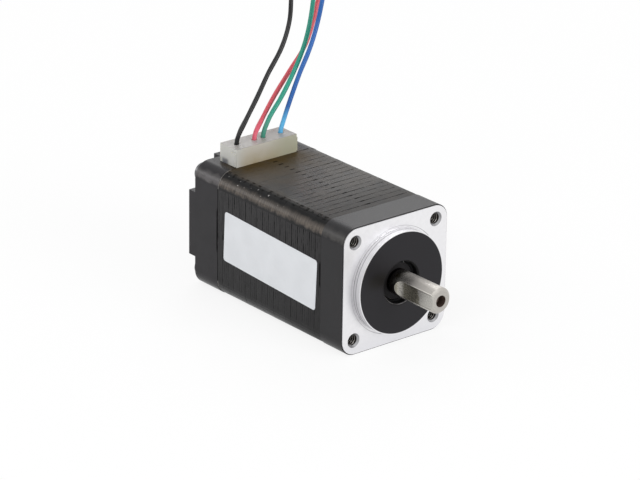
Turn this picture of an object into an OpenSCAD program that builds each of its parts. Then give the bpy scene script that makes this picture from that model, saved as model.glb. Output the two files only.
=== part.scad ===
// Hybrid stepper motor with a square frame, a pilot boss, a shaft with a flat and four plug-in leads.
// The shaft runs along X. The mounting face lies in the plane x = 0 and faces +X.
// The connector is on top, at +Z, and the motor rests on its lower side, at -Z.

/* [Frame] */
// Side of the square frame
frame_w = 20; // [19:0.5:24]
// Radius of the frame's four long edges
corner_r = 2.5; // [1.5:0.1:2.8]
// Length of the front cap behind the mounting face
front_cap_l = 5; // [4.6:0.1:7]
// Length of the laminated core
core_l = 24.5; // [22.5:0.5:40]
// How far the core's sides lie inside those of the caps
core_inset = 0.06; // [0.02:0.02:0.2]
// Length of the rear cap ahead of its cross-shaped boss
rear_cap_l = 5.5; // [5.3:0.1:7]
// Height of the cross-shaped boss on the rear cap
cross_h = 1.5; // [1.4:0.1:2.5]
// Width of each arm of the cross
cross_w = 10.5; // [8:0.5:12]

/* [Mounting] */
// Diameter of the pilot boss
boss_d = 16; // [12:0.5:17]
// Height of the pilot boss
boss_h = 1.5; // [1.2:0.1:2.5]
// Diameter of the opening round the shaft
opening_d = 6.5; // [6:0.1:7.5]
// Chamfer round the mouth of that opening
opening_chamfer = 0.2; // [0.1:0.05:0.4]
// Distance of each mounting hole from the two nearest sides of the frame
hole_inset = 2.3; // [2.1:0.05:2.6]
// Diameter of a mounting hole inside its thread
thread_d = 1.6; // [1.2:0.1:1.8]
// Depth of a mounting hole, down to the tip of the long screw behind it
thread_l = 2.7; // [2:0.1:3.5]
// Width of the countersink's mouth
countersink_d = 2.3; // [2:0.1:2.6]

/* [Shaft] */
// Diameter of the shaft
shaft_d = 4; // [3.6:0.1:4.3]
// Reach of the shaft ahead of the mounting face
shaft_out = 10.2; // [8:0.1:20]
// Depth of the flat
flat_h = 0.43; // [0.2:0.01:0.8]
// Where the flat reaches its full depth, ahead of the mounting face
flat_start = 3.6; // [3.2:0.1:6]
// Radius of the cutter that mills the flat
cutter_r = 2.5; // [1.5:0.1:4]
// Chamfer at the end of the shaft
shaft_chamfer = 0.4; // [0.2:0.05:0.6]
// Mouth of the centre hole in the end of the shaft
centre_d = 1.8; // [1:0.1:2.2]

/* [Bearings] */
// Outside diameter of each bearing
bearing_d = 9; // [8.8:0.1:9.6]
// Width of each bearing
bearing_w = 4; // [3.6:0.1:4.2]
// Diameter of a ball
ball_d = 1.3; // [1.1:0.05:1.4]
// Number of balls in each bearing
ball_count = 7; // [6:1:8]
// Thickness of a bearing's rubber seal
seal_t = 0.2; // [0.1:0.05:0.3]

/* [Core and rotor] */
// Bore of the core, across the tips of its teeth
bore_d = 9; // [8.6:0.1:9.2]
// Gap between the rotor's teeth and the core's teeth
air_gap = 0.06; // [0.04:0.01:0.15]
// Teeth round the rotor
rotor_teeth = 50; // [40:1:50]
// Height of a tooth
tooth_h = 0.25; // [0.15:0.05:0.35]
// Teeth on each pole of the core
pole_teeth = 5; // [4:1:5]
// Width of a pole where it carries its winding
pole_w = 1.5; // [1.2:0.1:1.7]
// Thickness of a pole's toothed shoe
shoe_t = 0.8; // [0.6:0.1:0.9]
// Radius of the floor of the winding slots
slot_r = 6.9; // [6.7:0.1:7]
// Thickness of a winding on each side of its pole
winding_t = 0.9; // [0.5:0.05:1]
// Number of packs of plates in the core, with an open joint between neighbours
pack_count = 18; // [12:1:24]
// Length of the magnet between the two rotor cups
magnet_l = 2; // [1:0.1:4]

/* [Connector and leads] */
// Distance between neighbouring circuits of the connector
circuit_pitch = 1.7; // [1.6:0.05:1.8]
// Length of the plug along its row of circuits
plug_l = 11.6; // [11:0.1:12.5]
// Width of the plug, along the shaft
plug_w = 4; // [3.4:0.05:4.1]
// How far the plug stands above the frame
plug_out = 2.85; // [2:0.05:4]
// Sideways place of the connector's middle
plug_y = -0.55; // [-0.6:0.05:0.5]
// Diameter of a lead
lead_d = 0.7; // [0.6:0.05:0.8]
// Length of each lead, with its bare tip
lead_l = 300; // [260:5:320]

/* [Label] */
// Length of the blank label
label_l = 21.8; // [16:0.1:22]
// Height of the blank label
label_h = 8; // [5:0.1:12]
// Tilt of the label in degrees, down towards the front
label_tilt = 2.4; // [0:0.1:3]

/* [Hidden] */

// Clearances that pieces share, and the overrun of a cut past the face that it opens
seat_gap = 0.01;
slide_gap = 0.1;
overrun = 1;
$fn = 96;

// Planes across the shaft, from the front to the back
core_front_x = -front_cap_l;
core_rear_x = core_front_x - core_l;
cap_rear_x = core_rear_x - rear_cap_l;
back_x = cap_rear_x - cross_h;

// Front cap: a step round the machined face, a shallow turned relief round the foot of the boss, and
// a lip that holds the front bearing
hole_pitch = frame_w - 2 * hole_inset;
face_step = 0.15;
relief_w = 0.35;
relief_h = 0.06;
countersink_h = 0.35;
lip_t = 1;

// Both caps: a round recess for the ends of the windings
recess_gap = 0.35;
recess_r = slot_r + recess_gap;
recess_h = 1.7;

// Rear cap: the wall behind the rear bearing and the space for its spring washer
end_wall_t = 1.1;
washer_space = 0.4;
washer_t = 0.15;
washer_wave = 0.08;
washer_waves = 3;
washer_steps = 48;
washer_inner_r = 3.4;

// Bearings: the front one seats against the lip, the rear one against the spring washer
pocket_r = bearing_d / 2 + seat_gap;
front_bearing_x = boss_h - lip_t - bearing_w;
washer_x = back_x + end_wall_t;
rear_bearing_x = washer_x + washer_space;
pitch_r = (shaft_d + bearing_d) / 4;
land_h = 0.4;
groove_gap = 0.03;
groove_r = ball_d / 2 + groove_gap;
inner_land_r = pitch_r - land_h;
outer_land_r = pitch_r + land_h;
seal_seat = 0.2;
seal_inset = 0.05;
seal_gap = 0.12;
cage_t = 0.3;
cage_rim = 0.3;
cage_gap = 0.05;
cage_w = ball_d + 2 * (cage_gap + cage_rim);

// Long screws: they clear the core and the rear cap, and grip the rear part of the front cap
screw_d = 2;
screw_clear = 0.1;
screw_head_d = 3;
screw_head_h = 1.2;
screw_slot_w = 0.4;
screw_slot_l = 1.8;
screw_slot_h = 0.5;

// Core: eight poles, and a shallow groove at each joint between packs of plates, which gapes in the
// middle of each side
pole_count = 8;
bore_r = bore_d / 2;
shoe_r = bore_r + shoe_t;
tooth_angle = 360 / rotor_teeth;
tooth_share = 0.42;
pack_l = core_l / pack_count;
joint_w = 0.12;
joint_h = 0.08;
gape_l = 0.8;
gape_w = 0.2;
gape_h = 0.3;

// Insulating end frames: a plate on each end of the core and two low walls that hold the windings
liner_t = 0.2;
plate_t = 0.4;
wall_t = 0.25;
wall_h = 1.2;
frame_gap = 0.15;

// Rotor
rotor_r = bore_r - air_gap;
rotor_end_gap = 0.3;
cup_l = (core_l - 2 * rotor_end_gap - magnet_l) / 2;
rotor_front_x = core_front_x - rotor_end_gap;
rotor_rear_x = core_rear_x + rotor_end_gap;
magnet_r = rotor_r - 3 * tooth_h;
spacer_r = inner_land_r - seal_gap;
neck_h = 0.2;
neck_r = shaft_d / 2 - neck_h;
seam_turn = 37.5;
centre_l = 1.4;
centre_point_l = 0.5;

// Connector: a notch in the rear cap holds the board, the header's base and the foot of the plug
circuits = 6;
notch_h = 2.8;
board_t = 0.4;
base_t = 0.6;
plug_front_gap = 0.05;
rib_t = 0.25;
rib_w = 1.2;
rib_drop = 0.6;
rib_inset = 0.1;
pin_w = 0.4;
pin_hole_d = 0.6;
pin_up = 2.6;
pin_tail = 0.5;
tail_room = 0.5;
cavity_w = 1.2;
wire_gap = 0.08;
terminal_w = 1.0;
terminal_wall = 0.2;
barrel_l = 1.1;
barrel_t = 0.12;
cavity_roof = 0.6;
plug_x = core_rear_x - plug_front_gap - plug_w / 2;
board_z = frame_w / 2 - notch_h;
base_z = board_z + board_t;
plug_z = base_z + base_t;
plug_top_z = frame_w / 2 + plug_out;
cavity_top_z = plug_top_z - cavity_roof;
notch_l = plug_l + 2 * slide_gap;
notch_rear_x = plug_x - plug_w / 2 - slide_gap;

// Label: lies on the side of the core, a little ahead of its middle
label_t = 0.08;
label_r = 0.5;
label_shift = 0.35;

// Leads: the surface that the motor rests on, and the coil of the stored length
floor_z = -frame_w / 2;
lead_r = lead_d / 2;
lead_sides = 8;
coil_x = -32;
coil_y = 22;
coil_r = 10.4;
coil_pitch = 1.25;
coil_sides = 6;
coil_steps = 24;
coil_end_r = 3;
coil_end_angle = 60;
tie_t = 0.2;
tie_w = 2.4;
tie_gap = 0.25;
tie_under = 0.05;
tie_corner_r = 0.6;
tip_l = 2;
tip_d = 0.4;

// Route of each lead, from its crimp, up out of the plug, over and down behind the motor to the coil
black_route = [
    [-31.55, -4.8, 11.4], [-31.55, -4.8, 12.9], [-31.8, -3, 15.9], [-32.3, -0.5, 18.8],
    [-33, 2.4, 22.3], [-33.8, 5.7, 25.7], [-34.7, 7.8, 29.2], [-35.6, 8.8, 32.6],
    [-37.8, 10.9, 35.4], [-41.4, 13.9, 35.5], [-44.3, 16.2, 32.7], [-44.8, 16.29, 28.7],
    [-44.2, 15.64, 25.8], [-43.3, 14.1, 23.1], [-42.5, 11.83, 20.4], [-41.8, 9.19, 17.9],
    [-41.1, 6.93, 15.5], [-40.3, 4.42, 13], [-39.5, 1.84, 10.4], [-39.2, 1, 7], [-39.6, 2.2, 2.5],
    [-40.3, 5.8, -2.5], [-41.4, 11.5, -6.9], [-42.2, 17, -9]
];
red_route = [
    [-31.55, -1.4, 11.4], [-31.55, -1.4, 12.9], [-32.6, 0.7, 14.9], [-33.7, 3.7, 17.4],
    [-34.9, 7.9, 20.7], [-36, 12.1, 24.1], [-37, 14.4, 27.3], [-38, 16.3, 30.5],
    [-39.4, 18.5, 32.1], [-41.7, 20.8, 32], [-43.5, 21.9, 30.3], [-43.7, 20.99, 28],
    [-43.2, 19.71, 25.3], [-42.3, 17.98, 22.8], [-41.5, 15.57, 20.1], [-40.8, 12.34, 17.6],
    [-40.1, 9.39, 15.2], [-39.3, 6.66, 12.7], [-38.5, 4.2, 10.1], [-38.4, 4, 7.4], [-38.9, 4.9, 3],
    [-40, 8.2, -2.2], [-41.4, 13.4, -6], [-42.2, 18, -7.8]
];
green_route = [
    [-31.55, 0.3, 11.4], [-31.55, 0.3, 12.9], [-31.8, 1.35, 15], [-32.3, 4.1, 17.8],
    [-33.3, 7.6, 21.3], [-34.4, 10.5, 24.7], [-35.6, 12.6, 27.9], [-36.8, 14.2, 31.2],
    [-39.5, 17, 34], [-43.6, 20.6, 33.9], [-46.7, 22.9, 30.9], [-47, 22.63, 26.9],
    [-46.3, 21.54, 24], [-45.2, 19.89, 21.4], [-44.3, 17.88, 18.7], [-43.4, 15.53, 16.2],
    [-42.4, 12.83, 13.8], [-41.5, 9.76, 11.4], [-40.9, 8.04, 9.5], [-40.4, 6.8, 7.2],
    [-40.6, 8, 3.2], [-41.2, 10.9, -0.8], [-41.9, 15.2, -4.5], [-42.3, 18.7, -6.4]
];
blue_route = [
    [-31.55, 3.7, 11.4], [-31.55, 3.7, 12.9], [-31.6, 4.3, 14.6], [-31.9, 5.8, 17.5],
    [-32.4, 8.1, 21.4], [-33, 10.7, 25.1], [-33.7, 12.6, 28.5], [-34.3, 14, 31.9],
    [-36.7, 16.8, 34.5], [-40.9, 20.7, 34.3], [-44.4, 23.2, 31.3], [-45.2, 23.06, 27.3],
    [-44.6, 21.81, 24.5], [-43.5, 19.98, 22], [-42.6, 17.9, 19.3], [-41.8, 15.59, 16.7],
    [-41, 13.55, 14.1], [-40.1, 11.54, 11.5], [-39.4, 10.08, 9.4], [-39.3, 9.4, 6.8],
    [-39.8, 10.4, 3.2], [-40.7, 12.8, -0.1], [-41.7, 16.2, -3.4], [-42.3, 19, -5.1]
];
lead_routes = [black_route, red_route, green_route, blue_route];
lead_colours = ["#2b2b2d", "#d94a63", "#28906e", "#2a80cf"];

// Shared shapes

// Extrudes a profile, drawn with Y to the right and Z up, from one plane across the shaft to another
module along_x(x0, x1) {
    translate([x0, 0, 0]) rotate([90, 0, 90]) linear_extrude(height = x1 - x0) children();
}

// Revolves a profile of radius and place along the shaft
module about_x() {
    rotate([90, 0, 90]) rotate_extrude() children();
}

module rounded_square(w, r) {
    square([w, w - 2 * r], center = true);
    square([w - 2 * r, w], center = true);
    at_corners(w - 2 * r) circle(r = r);
}

module at_corners(pitch) {
    for (y = [-pitch / 2, pitch / 2], z = [-pitch / 2, pitch / 2]) translate([y, z]) children();
}

module ring(outer_r, inner_r) {
    difference() {
        circle(r = outer_r);
        circle(r = inner_r);
    }
}

module centred_box(x, y, z, size) {
    translate([x - size[0] / 2, y - size[1] / 2, z]) cube(size);
}

function circuit_y(i) = plug_y + (i - (circuits - 1) / 2) * circuit_pitch;

// The second and the fifth circuit carry no lead
function in_use(i) = i != 1 && i != 4;

// Caps

module front_cap() {
    color("#3b3b3f") difference() {
        union() {
            along_x(core_front_x, -face_step) rounded_square(frame_w, corner_r);
            along_x(core_front_x, 0) rounded_square(frame_w - 2 * face_step, corner_r - face_step);
            along_x(core_front_x, boss_h) circle(d = boss_d);
        }
        along_x(-relief_h, boss_h + overrun) ring(boss_d / 2 + relief_w, boss_d / 2);
        along_x(core_front_x - overrun, boss_h + overrun) circle(d = opening_d);
        translate([boss_h - opening_chamfer, 0, 0]) rotate([0, 90, 0])
            cylinder(h = opening_chamfer, d1 = opening_d, d2 = opening_d + 2 * opening_chamfer);
        along_x(core_front_x - overrun, boss_h - lip_t) circle(r = pocket_r);
        along_x(core_front_x - overrun, core_front_x + recess_h) circle(r = recess_r);
        along_x(core_front_x - overrun, overrun) at_corners(hole_pitch) circle(d = thread_d);
        along_x(core_front_x - overrun, -thread_l) at_corners(hole_pitch) circle(d = screw_d + 2 * seat_gap);
        for (y = [-hole_pitch / 2, hole_pitch / 2], z = [-hole_pitch / 2, hole_pitch / 2])
            translate([-countersink_h, y, z]) rotate([0, 90, 0])
                cylinder(h = countersink_h, d1 = thread_d, d2 = countersink_d);
    }
}

module rear_cap() {
    color("#3b3b3f") difference() {
        union() {
            along_x(cap_rear_x, core_rear_x) rounded_square(frame_w, corner_r);
            along_x(back_x, cap_rear_x) {
                square([frame_w, cross_w], center = true);
                square([cross_w, frame_w], center = true);
            }
        }
        along_x(washer_x, core_rear_x + overrun) circle(r = pocket_r);
        along_x(core_rear_x - recess_h, core_rear_x + overrun) circle(r = recess_r);
        along_x(cap_rear_x - overrun, core_rear_x + overrun)
            at_corners(hole_pitch) circle(d = screw_d + 2 * screw_clear);
        connector_notch();
    }
}

// Notch for the board, the header and the plug, and the room for the pins' tails under the board
module connector_notch() {
    translate([notch_rear_x, plug_y - notch_l / 2, board_z])
        cube([core_rear_x + overrun - notch_rear_x, notch_l, notch_h + overrun]);
    tail_w = pin_w + 2 * tail_room;
    translate([plug_x - tail_w / 2, circuit_y(0) - tail_w / 2, board_z - pin_tail - slide_gap])
        cube([core_rear_x + overrun - plug_x + tail_w / 2, (circuits - 1) * circuit_pitch + tail_w,
              pin_tail + slide_gap + overrun]);
}

// Stator

module stator_core() {
    core_w = frame_w - 2 * core_inset;
    color("#4a4a4e") difference() {
        along_x(core_rear_x, core_front_x) core_profile(core_w);
        for (i = [0 : pack_count]) pack_joint(core_rear_x + i * pack_l, core_w);
    }
}

module pack_joint(x, core_w) {
    along_x(x - joint_w / 2, x + joint_w / 2) difference() {
        square(core_w + 2 * overrun, center = true);
        rounded_square(core_w - 2 * joint_h, corner_r - joint_h);
    }
    along_x(x - gape_w / 2, x + gape_w / 2) for (side = [0 : 3]) rotate(side * 90)
        translate([core_w / 2 - gape_h, -gape_l / 2]) square([gape_h + overrun, gape_l]);
}

module core_profile(w) {
    difference() {
        rounded_square(w, corner_r);
        circle(r = slot_r);
        at_corners(hole_pitch) circle(d = screw_d + 2 * screw_clear);
    }
    for (i = [0 : pole_count - 1]) rotate(i * 360 / pole_count) pole_profile();
}

// One pole, pointing along the first axis: a straight neck and a shoe with teeth
module pole_profile() {
    neck_overlap = shoe_t / 2;
    translate([bore_r + neck_overlap, -pole_w / 2]) square([slot_r - bore_r, pole_w]);
    difference() {
        intersection() {
            ring(shoe_r, bore_r);
            wedge((pole_teeth - 1 + tooth_share) * tooth_angle, slot_r);
        }
        for (i = [1 : pole_teeth - 1])
            rotate((i - pole_teeth / 2) * tooth_angle) tooth_space(bore_r, bore_r + tooth_h);
    }
}

// Sector of the given angle, centred on the first axis
module wedge(angle, r) {
    polygon([[0, 0], [r, -r * tan(angle / 2)], [r, r * tan(angle / 2)]]);
}

// Space between two teeth, with straight sides, from one radius to another
module tooth_space(r0, r1) {
    w = bore_r * sin((1 - tooth_share) * tooth_angle);
    low_r = min(r0, r1);
    translate([low_r - tooth_h / 2 * (r0 < r1 ? 1 : 0), -w / 2])
        square([abs(r1 - r0) + tooth_h / 2, w]);
}

// Plate on one end of the core, with an outer and an inner wall between which the windings lie
module insulator(x, way) {
    outer_r = recess_r - frame_gap;
    inner_r = bore_r + frame_gap;
    x1 = x + way * plate_t;
    x2 = x1 + way * wall_h;
    color("#1f1f22") {
        along_x(min(x, x1), max(x, x1)) {
            ring(outer_r, outer_r - wall_t);
            ring(shoe_r, inner_r);
            for (i = [0 : pole_count - 1]) rotate(i * 360 / pole_count)
                translate([shoe_r - wall_t, -pole_w / 2 - liner_t])
                    square([outer_r - wall_t / 2 - shoe_r + wall_t, pole_w + 2 * liner_t]);
        }
        along_x(min(x1, x2), max(x1, x2)) {
            ring(outer_r, outer_r - wall_t);
            ring(shoe_r, shoe_r - wall_t);
        }
    }
}

module front_insulator() insulator(core_front_x, 1);

module rear_insulator() insulator(core_rear_x, -1);

// Coil of one pole: a flat band with round corners, standing on the end frames at both ends of the core.
// Its outer corners stay inside the outer walls of the end frames.
module pole_winding() {
    r0 = shoe_r + seat_gap;
    inner_w = pole_w + 2 * liner_t;
    r1 = sqrt((recess_r - frame_gap - wall_t - slide_gap) ^ 2 - (inner_w / 2 + winding_t) ^ 2);
    inner_l = core_l + 2 * plate_t;
    translate([(core_front_x + core_rear_x) / 2, 0, r0]) linear_extrude(height = r1 - r0) difference() {
        rounded_bar(inner_l + 2 * winding_t, inner_w + 2 * winding_t, winding_t);
        square([inner_l, inner_w], center = true);
    }
}

module rounded_bar(l, w, r) {
    square([l, w - 2 * r], center = true);
    square([l - 2 * r, w], center = true);
    for (x = [r - l / 2, l / 2 - r], y = [r - w / 2, w / 2 - r]) translate([x, y]) circle(r = r);
}

module phase_windings(first) {
    color("#a85a2a") for (i = [first : 2 : pole_count - 1])
        rotate([i * 360 / pole_count, 0, 0]) pole_winding();
}

module phase_a_windings() phase_windings(0);

module phase_b_windings() phase_windings(1);

// Long screws, with their heads in the corners beside the cross

module housing_screws() {
    color("#8f9094") for (y = [-hole_pitch / 2, hole_pitch / 2], z = [-hole_pitch / 2, hole_pitch / 2])
        translate([0, y, z]) {
            along_x(cap_rear_x - overrun / 2, -thread_l) circle(d = screw_d);
            difference() {
                along_x(cap_rear_x - screw_head_h, cap_rear_x) circle(d = screw_head_d);
                along_x(cap_rear_x - screw_head_h - overrun, cap_rear_x - screw_head_h + screw_slot_h) {
                    square([screw_slot_l, screw_slot_w], center = true);
                    square([screw_slot_w, screw_slot_l], center = true);
                }
            }
        }
}

// Bearings

module bearing_outer_ring(x) {
    color("#b9bcc0") about_x() difference() {
        translate([outer_land_r, x]) square([bearing_d / 2 - outer_land_r, bearing_w]);
        translate([pitch_r, x + bearing_w / 2]) circle(r = groove_r);
        for (y = [x - overrun, x + bearing_w - seal_inset - seal_t])
            translate([outer_land_r - overrun, y])
                square([overrun + seal_seat, seal_inset + seal_t + overrun]);
    }
}

module bearing_inner_ring(x) {
    color("#c3c6ca") about_x() difference() {
        translate([shaft_d / 2 + seat_gap, x])
            square([inner_land_r - shaft_d / 2 - seat_gap, bearing_w]);
        translate([pitch_r, x + bearing_w / 2]) circle(r = groove_r);
    }
}

module bearing_seals(x) {
    seal_r = outer_land_r + seal_seat - seat_gap;
    color("#202022") for (x0 = [x + seal_inset, x + bearing_w - seal_inset - seal_t])
        along_x(x0, x0 + seal_t) ring(seal_r, inner_land_r + seal_gap);
}

module bearing_balls(x) {
    color("#d6d8db") for (i = [0 : ball_count - 1])
        rotate([i * 360 / ball_count, 0, 0]) translate([x + bearing_w / 2, 0, pitch_r]) sphere(d = ball_d);
}

module bearing_cage(x) {
    x0 = x + (bearing_w - cage_w) / 2;
    color("#b08d57") difference() {
        along_x(x0, x0 + cage_w) ring(pitch_r + cage_t / 2, pitch_r - cage_t / 2);
        for (i = [0 : ball_count - 1])
            rotate([i * 360 / ball_count, 0, 0]) translate([x + bearing_w / 2, 0, pitch_r - cage_t])
                cylinder(h = 2 * cage_t, r = ball_d / 2 + cage_gap);
    }
}

module front_bearing_outer_ring() bearing_outer_ring(front_bearing_x);

module front_bearing_inner_ring() bearing_inner_ring(front_bearing_x);

module front_bearing_seals() bearing_seals(front_bearing_x);

module front_bearing_balls() bearing_balls(front_bearing_x);

module front_bearing_cage() bearing_cage(front_bearing_x);

module rear_bearing_outer_ring() bearing_outer_ring(rear_bearing_x);

module rear_bearing_inner_ring() bearing_inner_ring(rear_bearing_x);

module rear_bearing_seals() bearing_seals(rear_bearing_x);

module rear_bearing_balls() bearing_balls(rear_bearing_x);

module rear_bearing_cage() bearing_cage(rear_bearing_x);

// Spring washer: a flat ring bent into waves, which presses the rear bearing forwards
module wave_washer() {
    outer_r = bearing_d / 2 - 2 * slide_gap;
    mid_x = washer_x + washer_space / 2;
    function wave_x(i) = mid_x + washer_wave * cos(washer_waves * i * 360 / washer_steps);
    function rim(i, r, dx) = let (a = i * 360 / washer_steps) [wave_x(i) + dx, r * cos(a), r * sin(a)];
    points = [
        for (i = [0 : washer_steps - 1])
            each [
                rim(i, washer_inner_r, -washer_t / 2), rim(i, outer_r, -washer_t / 2),
                rim(i, outer_r, washer_t / 2), rim(i, washer_inner_r, washer_t / 2)
            ]
    ];
    sides = 4;
    faces = [
        for (i = [0 : washer_steps - 1], k = [0 : sides - 1])
            let (
                j = (i + 1) % washer_steps, m = (k + 1) % sides,
                a = sides * i + k, b = sides * j + k, c = sides * j + m, d = sides * i + m
            )
            each [[a, b, c], [a, c, d]]
    ];
    color("#a9acb0") polyhedron(points = points, faces = faces);
}

// Rotor

module shaft() {
    end_x = rear_bearing_x;
    r = shaft_d / 2;
    color("#b4b1ab") difference() {
        rotate([seam_turn, 0, 0]) about_x() polygon([
            [0, end_x], [r - shaft_chamfer, end_x], [r, end_x + shaft_chamfer],
            [r, front_bearing_x + bearing_w], [neck_r, front_bearing_x + bearing_w],
            [neck_r, boss_h + slide_gap], [r, boss_h + slide_gap],
            [r, shaft_out - shaft_chamfer], [r - shaft_chamfer, shaft_out], [0, shaft_out]
        ]);
        flat_cut();
        translate([shaft_out - centre_l, 0, 0]) rotate([0, 90, 0])
            cylinder(h = centre_l + overrun, d = centre_d);
        translate([shaft_out - centre_l - centre_point_l, 0, 0]) rotate([0, 90, 0])
            cylinder(h = centre_point_l, d1 = 0, d2 = centre_d);
    }
}

// The flat faces -Y and ends at the back in the round track of the cutter
module flat_cut() {
    flat_y = flat_h - shaft_d / 2;
    translate([flat_start, flat_y - cutter_r, -shaft_d]) cylinder(h = 2 * shaft_d, r = cutter_r);
    translate([flat_start, flat_y - cutter_r, -shaft_d])
        cube([shaft_out - flat_start + overrun, cutter_r, 2 * shaft_d]);
}

module rotor_cup(x0, turn) {
    color("#6d6e72") along_x(x0, x0 + cup_l) difference() {
        circle(r = rotor_r);
        circle(r = shaft_d / 2 + seat_gap);
        for (i = [0 : rotor_teeth - 1])
            rotate((i + turn) * tooth_angle) tooth_space(rotor_r, rotor_r - tooth_h);
    }
}

module front_rotor_cup() rotor_cup(rotor_front_x - cup_l, 0);

module rear_rotor_cup() rotor_cup(rotor_rear_x, 1 / 2);

module rotor_magnet() {
    color("#3c3d42") along_x(rotor_rear_x + cup_l, rotor_front_x - cup_l)
        ring(magnet_r, shaft_d / 2 + seat_gap);
}

module front_spacer() {
    color("#b9a26a") along_x(rotor_front_x, front_bearing_x) ring(spacer_r, shaft_d / 2 + seat_gap);
}

module rear_spacer() {
    color("#b9a26a") along_x(rear_bearing_x + bearing_w, rotor_rear_x)
        ring(spacer_r, shaft_d / 2 + seat_gap);
}

// Connector

module circuit_board() {
    rear_x = notch_rear_x + slide_gap;
    front_x = core_rear_x - slide_gap;
    color("#1e6b3c") difference() {
        translate([rear_x, plug_y - plug_l / 2, board_z]) cube([front_x - rear_x, plug_l, board_t]);
        for (i = [0 : circuits - 1])
            translate([plug_x, circuit_y(i), board_z - overrun])
                cylinder(h = board_t + 2 * overrun, d = pin_hole_d);
    }
}

module header_base() {
    color("#e9e4d2") difference() {
        centred_box(plug_x, plug_y, base_z, [plug_w, plug_l, base_t]);
        for (i = [0 : circuits - 1])
            centred_box(plug_x, circuit_y(i), base_z - overrun,
                        [pin_w + 2 * seat_gap, pin_w + 2 * seat_gap, base_t + 2 * overrun]);
    }
}

module header_pins() {
    color("#cfd1d4") for (i = [0 : circuits - 1])
        centred_box(plug_x, circuit_y(i), board_z - pin_tail,
                    [pin_w, pin_w, pin_tail + board_t + base_t + pin_up]);
}

// The ribs on the plug's ends stand clear of the frame
module plug_housing() {
    rib_z = frame_w / 2 + slide_gap;
    color("#e4dfcf") difference() {
        union() {
            centred_box(plug_x, plug_y, plug_z, [plug_w, plug_l, plug_top_z - plug_z]);
            for (side = [-1, 1])
                centred_box(plug_x + plug_w / 2 - rib_w / 2 - rib_inset, plug_y + side * plug_l / 2, rib_z,
                            [rib_w, 2 * rib_t, plug_top_z - rib_drop - rib_z]);
        }
        for (i = [0 : circuits - 1]) {
            centred_box(plug_x, circuit_y(i), plug_z - overrun,
                        [cavity_w, cavity_w, cavity_top_z - plug_z + overrun]);
            if (in_use(i)) translate([plug_x, circuit_y(i), plug_z])
                cylinder(h = plug_top_z - plug_z + overrun, d = lead_d + 2 * wire_gap);
        }
    }
}

// Crimp terminals on the four circuits in use: a box that grips the pin, and a barrel round the lead's end
module crimp_terminals() {
    barrel_z = cavity_top_z - barrel_l;
    color("#c9b27a") for (i = [0 : circuits - 1]) if (in_use(i)) {
        difference() {
            centred_box(plug_x, circuit_y(i), plug_z + slide_gap,
                        [terminal_w, terminal_w, barrel_z - plug_z - slide_gap]);
            centred_box(plug_x, circuit_y(i), plug_z - overrun,
                        [terminal_w - 2 * terminal_wall, pin_w + 2 * seat_gap,
                         barrel_z - terminal_wall - plug_z + overrun]);
        }
        translate([plug_x, circuit_y(i), barrel_z]) linear_extrude(height = barrel_l - slide_gap)
            ring(lead_r + seat_gap + barrel_t, lead_r + seat_gap);
    }
}

module label() {
    side_y = core_inset - frame_w / 2;
    middle_x = (core_front_x + core_rear_x) / 2 + label_shift;
    color("#dcd9e4") translate([middle_x, side_y, 0]) rotate([90, label_tilt, 0])
        linear_extrude(height = label_t) rounded_bar(label_l, label_h, label_r);
}

// Leads

function unit(v) = v / norm(v);

function route_length(p) =
    [for (i = [1 : len(p) - 1]) norm(p[i] - p[i - 1])] * [for (i = [1 : len(p) - 1]) 1];

function directions(p) =
    let (last = len(p) - 1)
    [for (i = [0 : last]) unit(p[min(i + 1, last)] - p[max(i - 1, 0)])];

// A direction across the tube, carried along the route without twisting
function across(t, n, i = 0) =
    i == len(t) ? [] : let (m = unit(n - (n * t[i]) * t[i])) concat([m], across(t, m, i + 1));

// Sweeps a round tube with flat sides along points, closed at both ends
module tube(p, r, sides, start_way, end_way, side_way) {
    last = len(p) - 1;
    inner = directions(p);
    t = [for (i = [0 : last]) i == 0 ? start_way : i == last ? end_way : inner[i]];
    n = across(t, side_way);
    points = [
        for (i = [0 : last], k = [0 : sides - 1])
            let (a = k * 360 / sides)
            p[i] + r * cos(a) * n[i] + r * sin(a) * cross(t[i], n[i])
    ];
    walls = [
        for (i = [0 : last - 1], k = [0 : sides - 1])
            let (
                m = (k + 1) % sides,
                a = i * sides + k, b = i * sides + m, c = a + sides, d = b + sides
            )
            each [[a, c, d], [a, d, b]]
    ];
    ends = [
        for (k = [1 : sides - 2])
            each [[0, k, k + 1], [last * sides, last * sides + k + 1, last * sides + k]]
    ];
    polyhedron(points = points, faces = concat(walls, ends));
}

function layer_z(i) = floor_z + tie_t + tie_under + lead_r + i * coil_pitch;

function coil_start(i) = [coil_x - coil_r, coil_y - lead_d, layer_z(i)];

function full_route(i) = concat(lead_routes[i], [coil_start(i)]);

// Turns that use up the rest of a lead: the arc length of the spiral, solved for its turns
function spiral_length(i) =
    lead_l - route_length(full_route(i)) - 2 * lead_d - coil_end_r * coil_end_angle * PI / 180 - tip_l;

function spiral_turns(i) =
    (coil_r - sqrt(coil_r ^ 2 - coil_pitch * spiral_length(i) / PI)) / coil_pitch;

function spiral_point(turn) =
    let (a = 180 - 360 * turn, r = coil_r - coil_pitch * turn)
    [coil_x + r * cos(a), coil_y + r * sin(a)];

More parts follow.
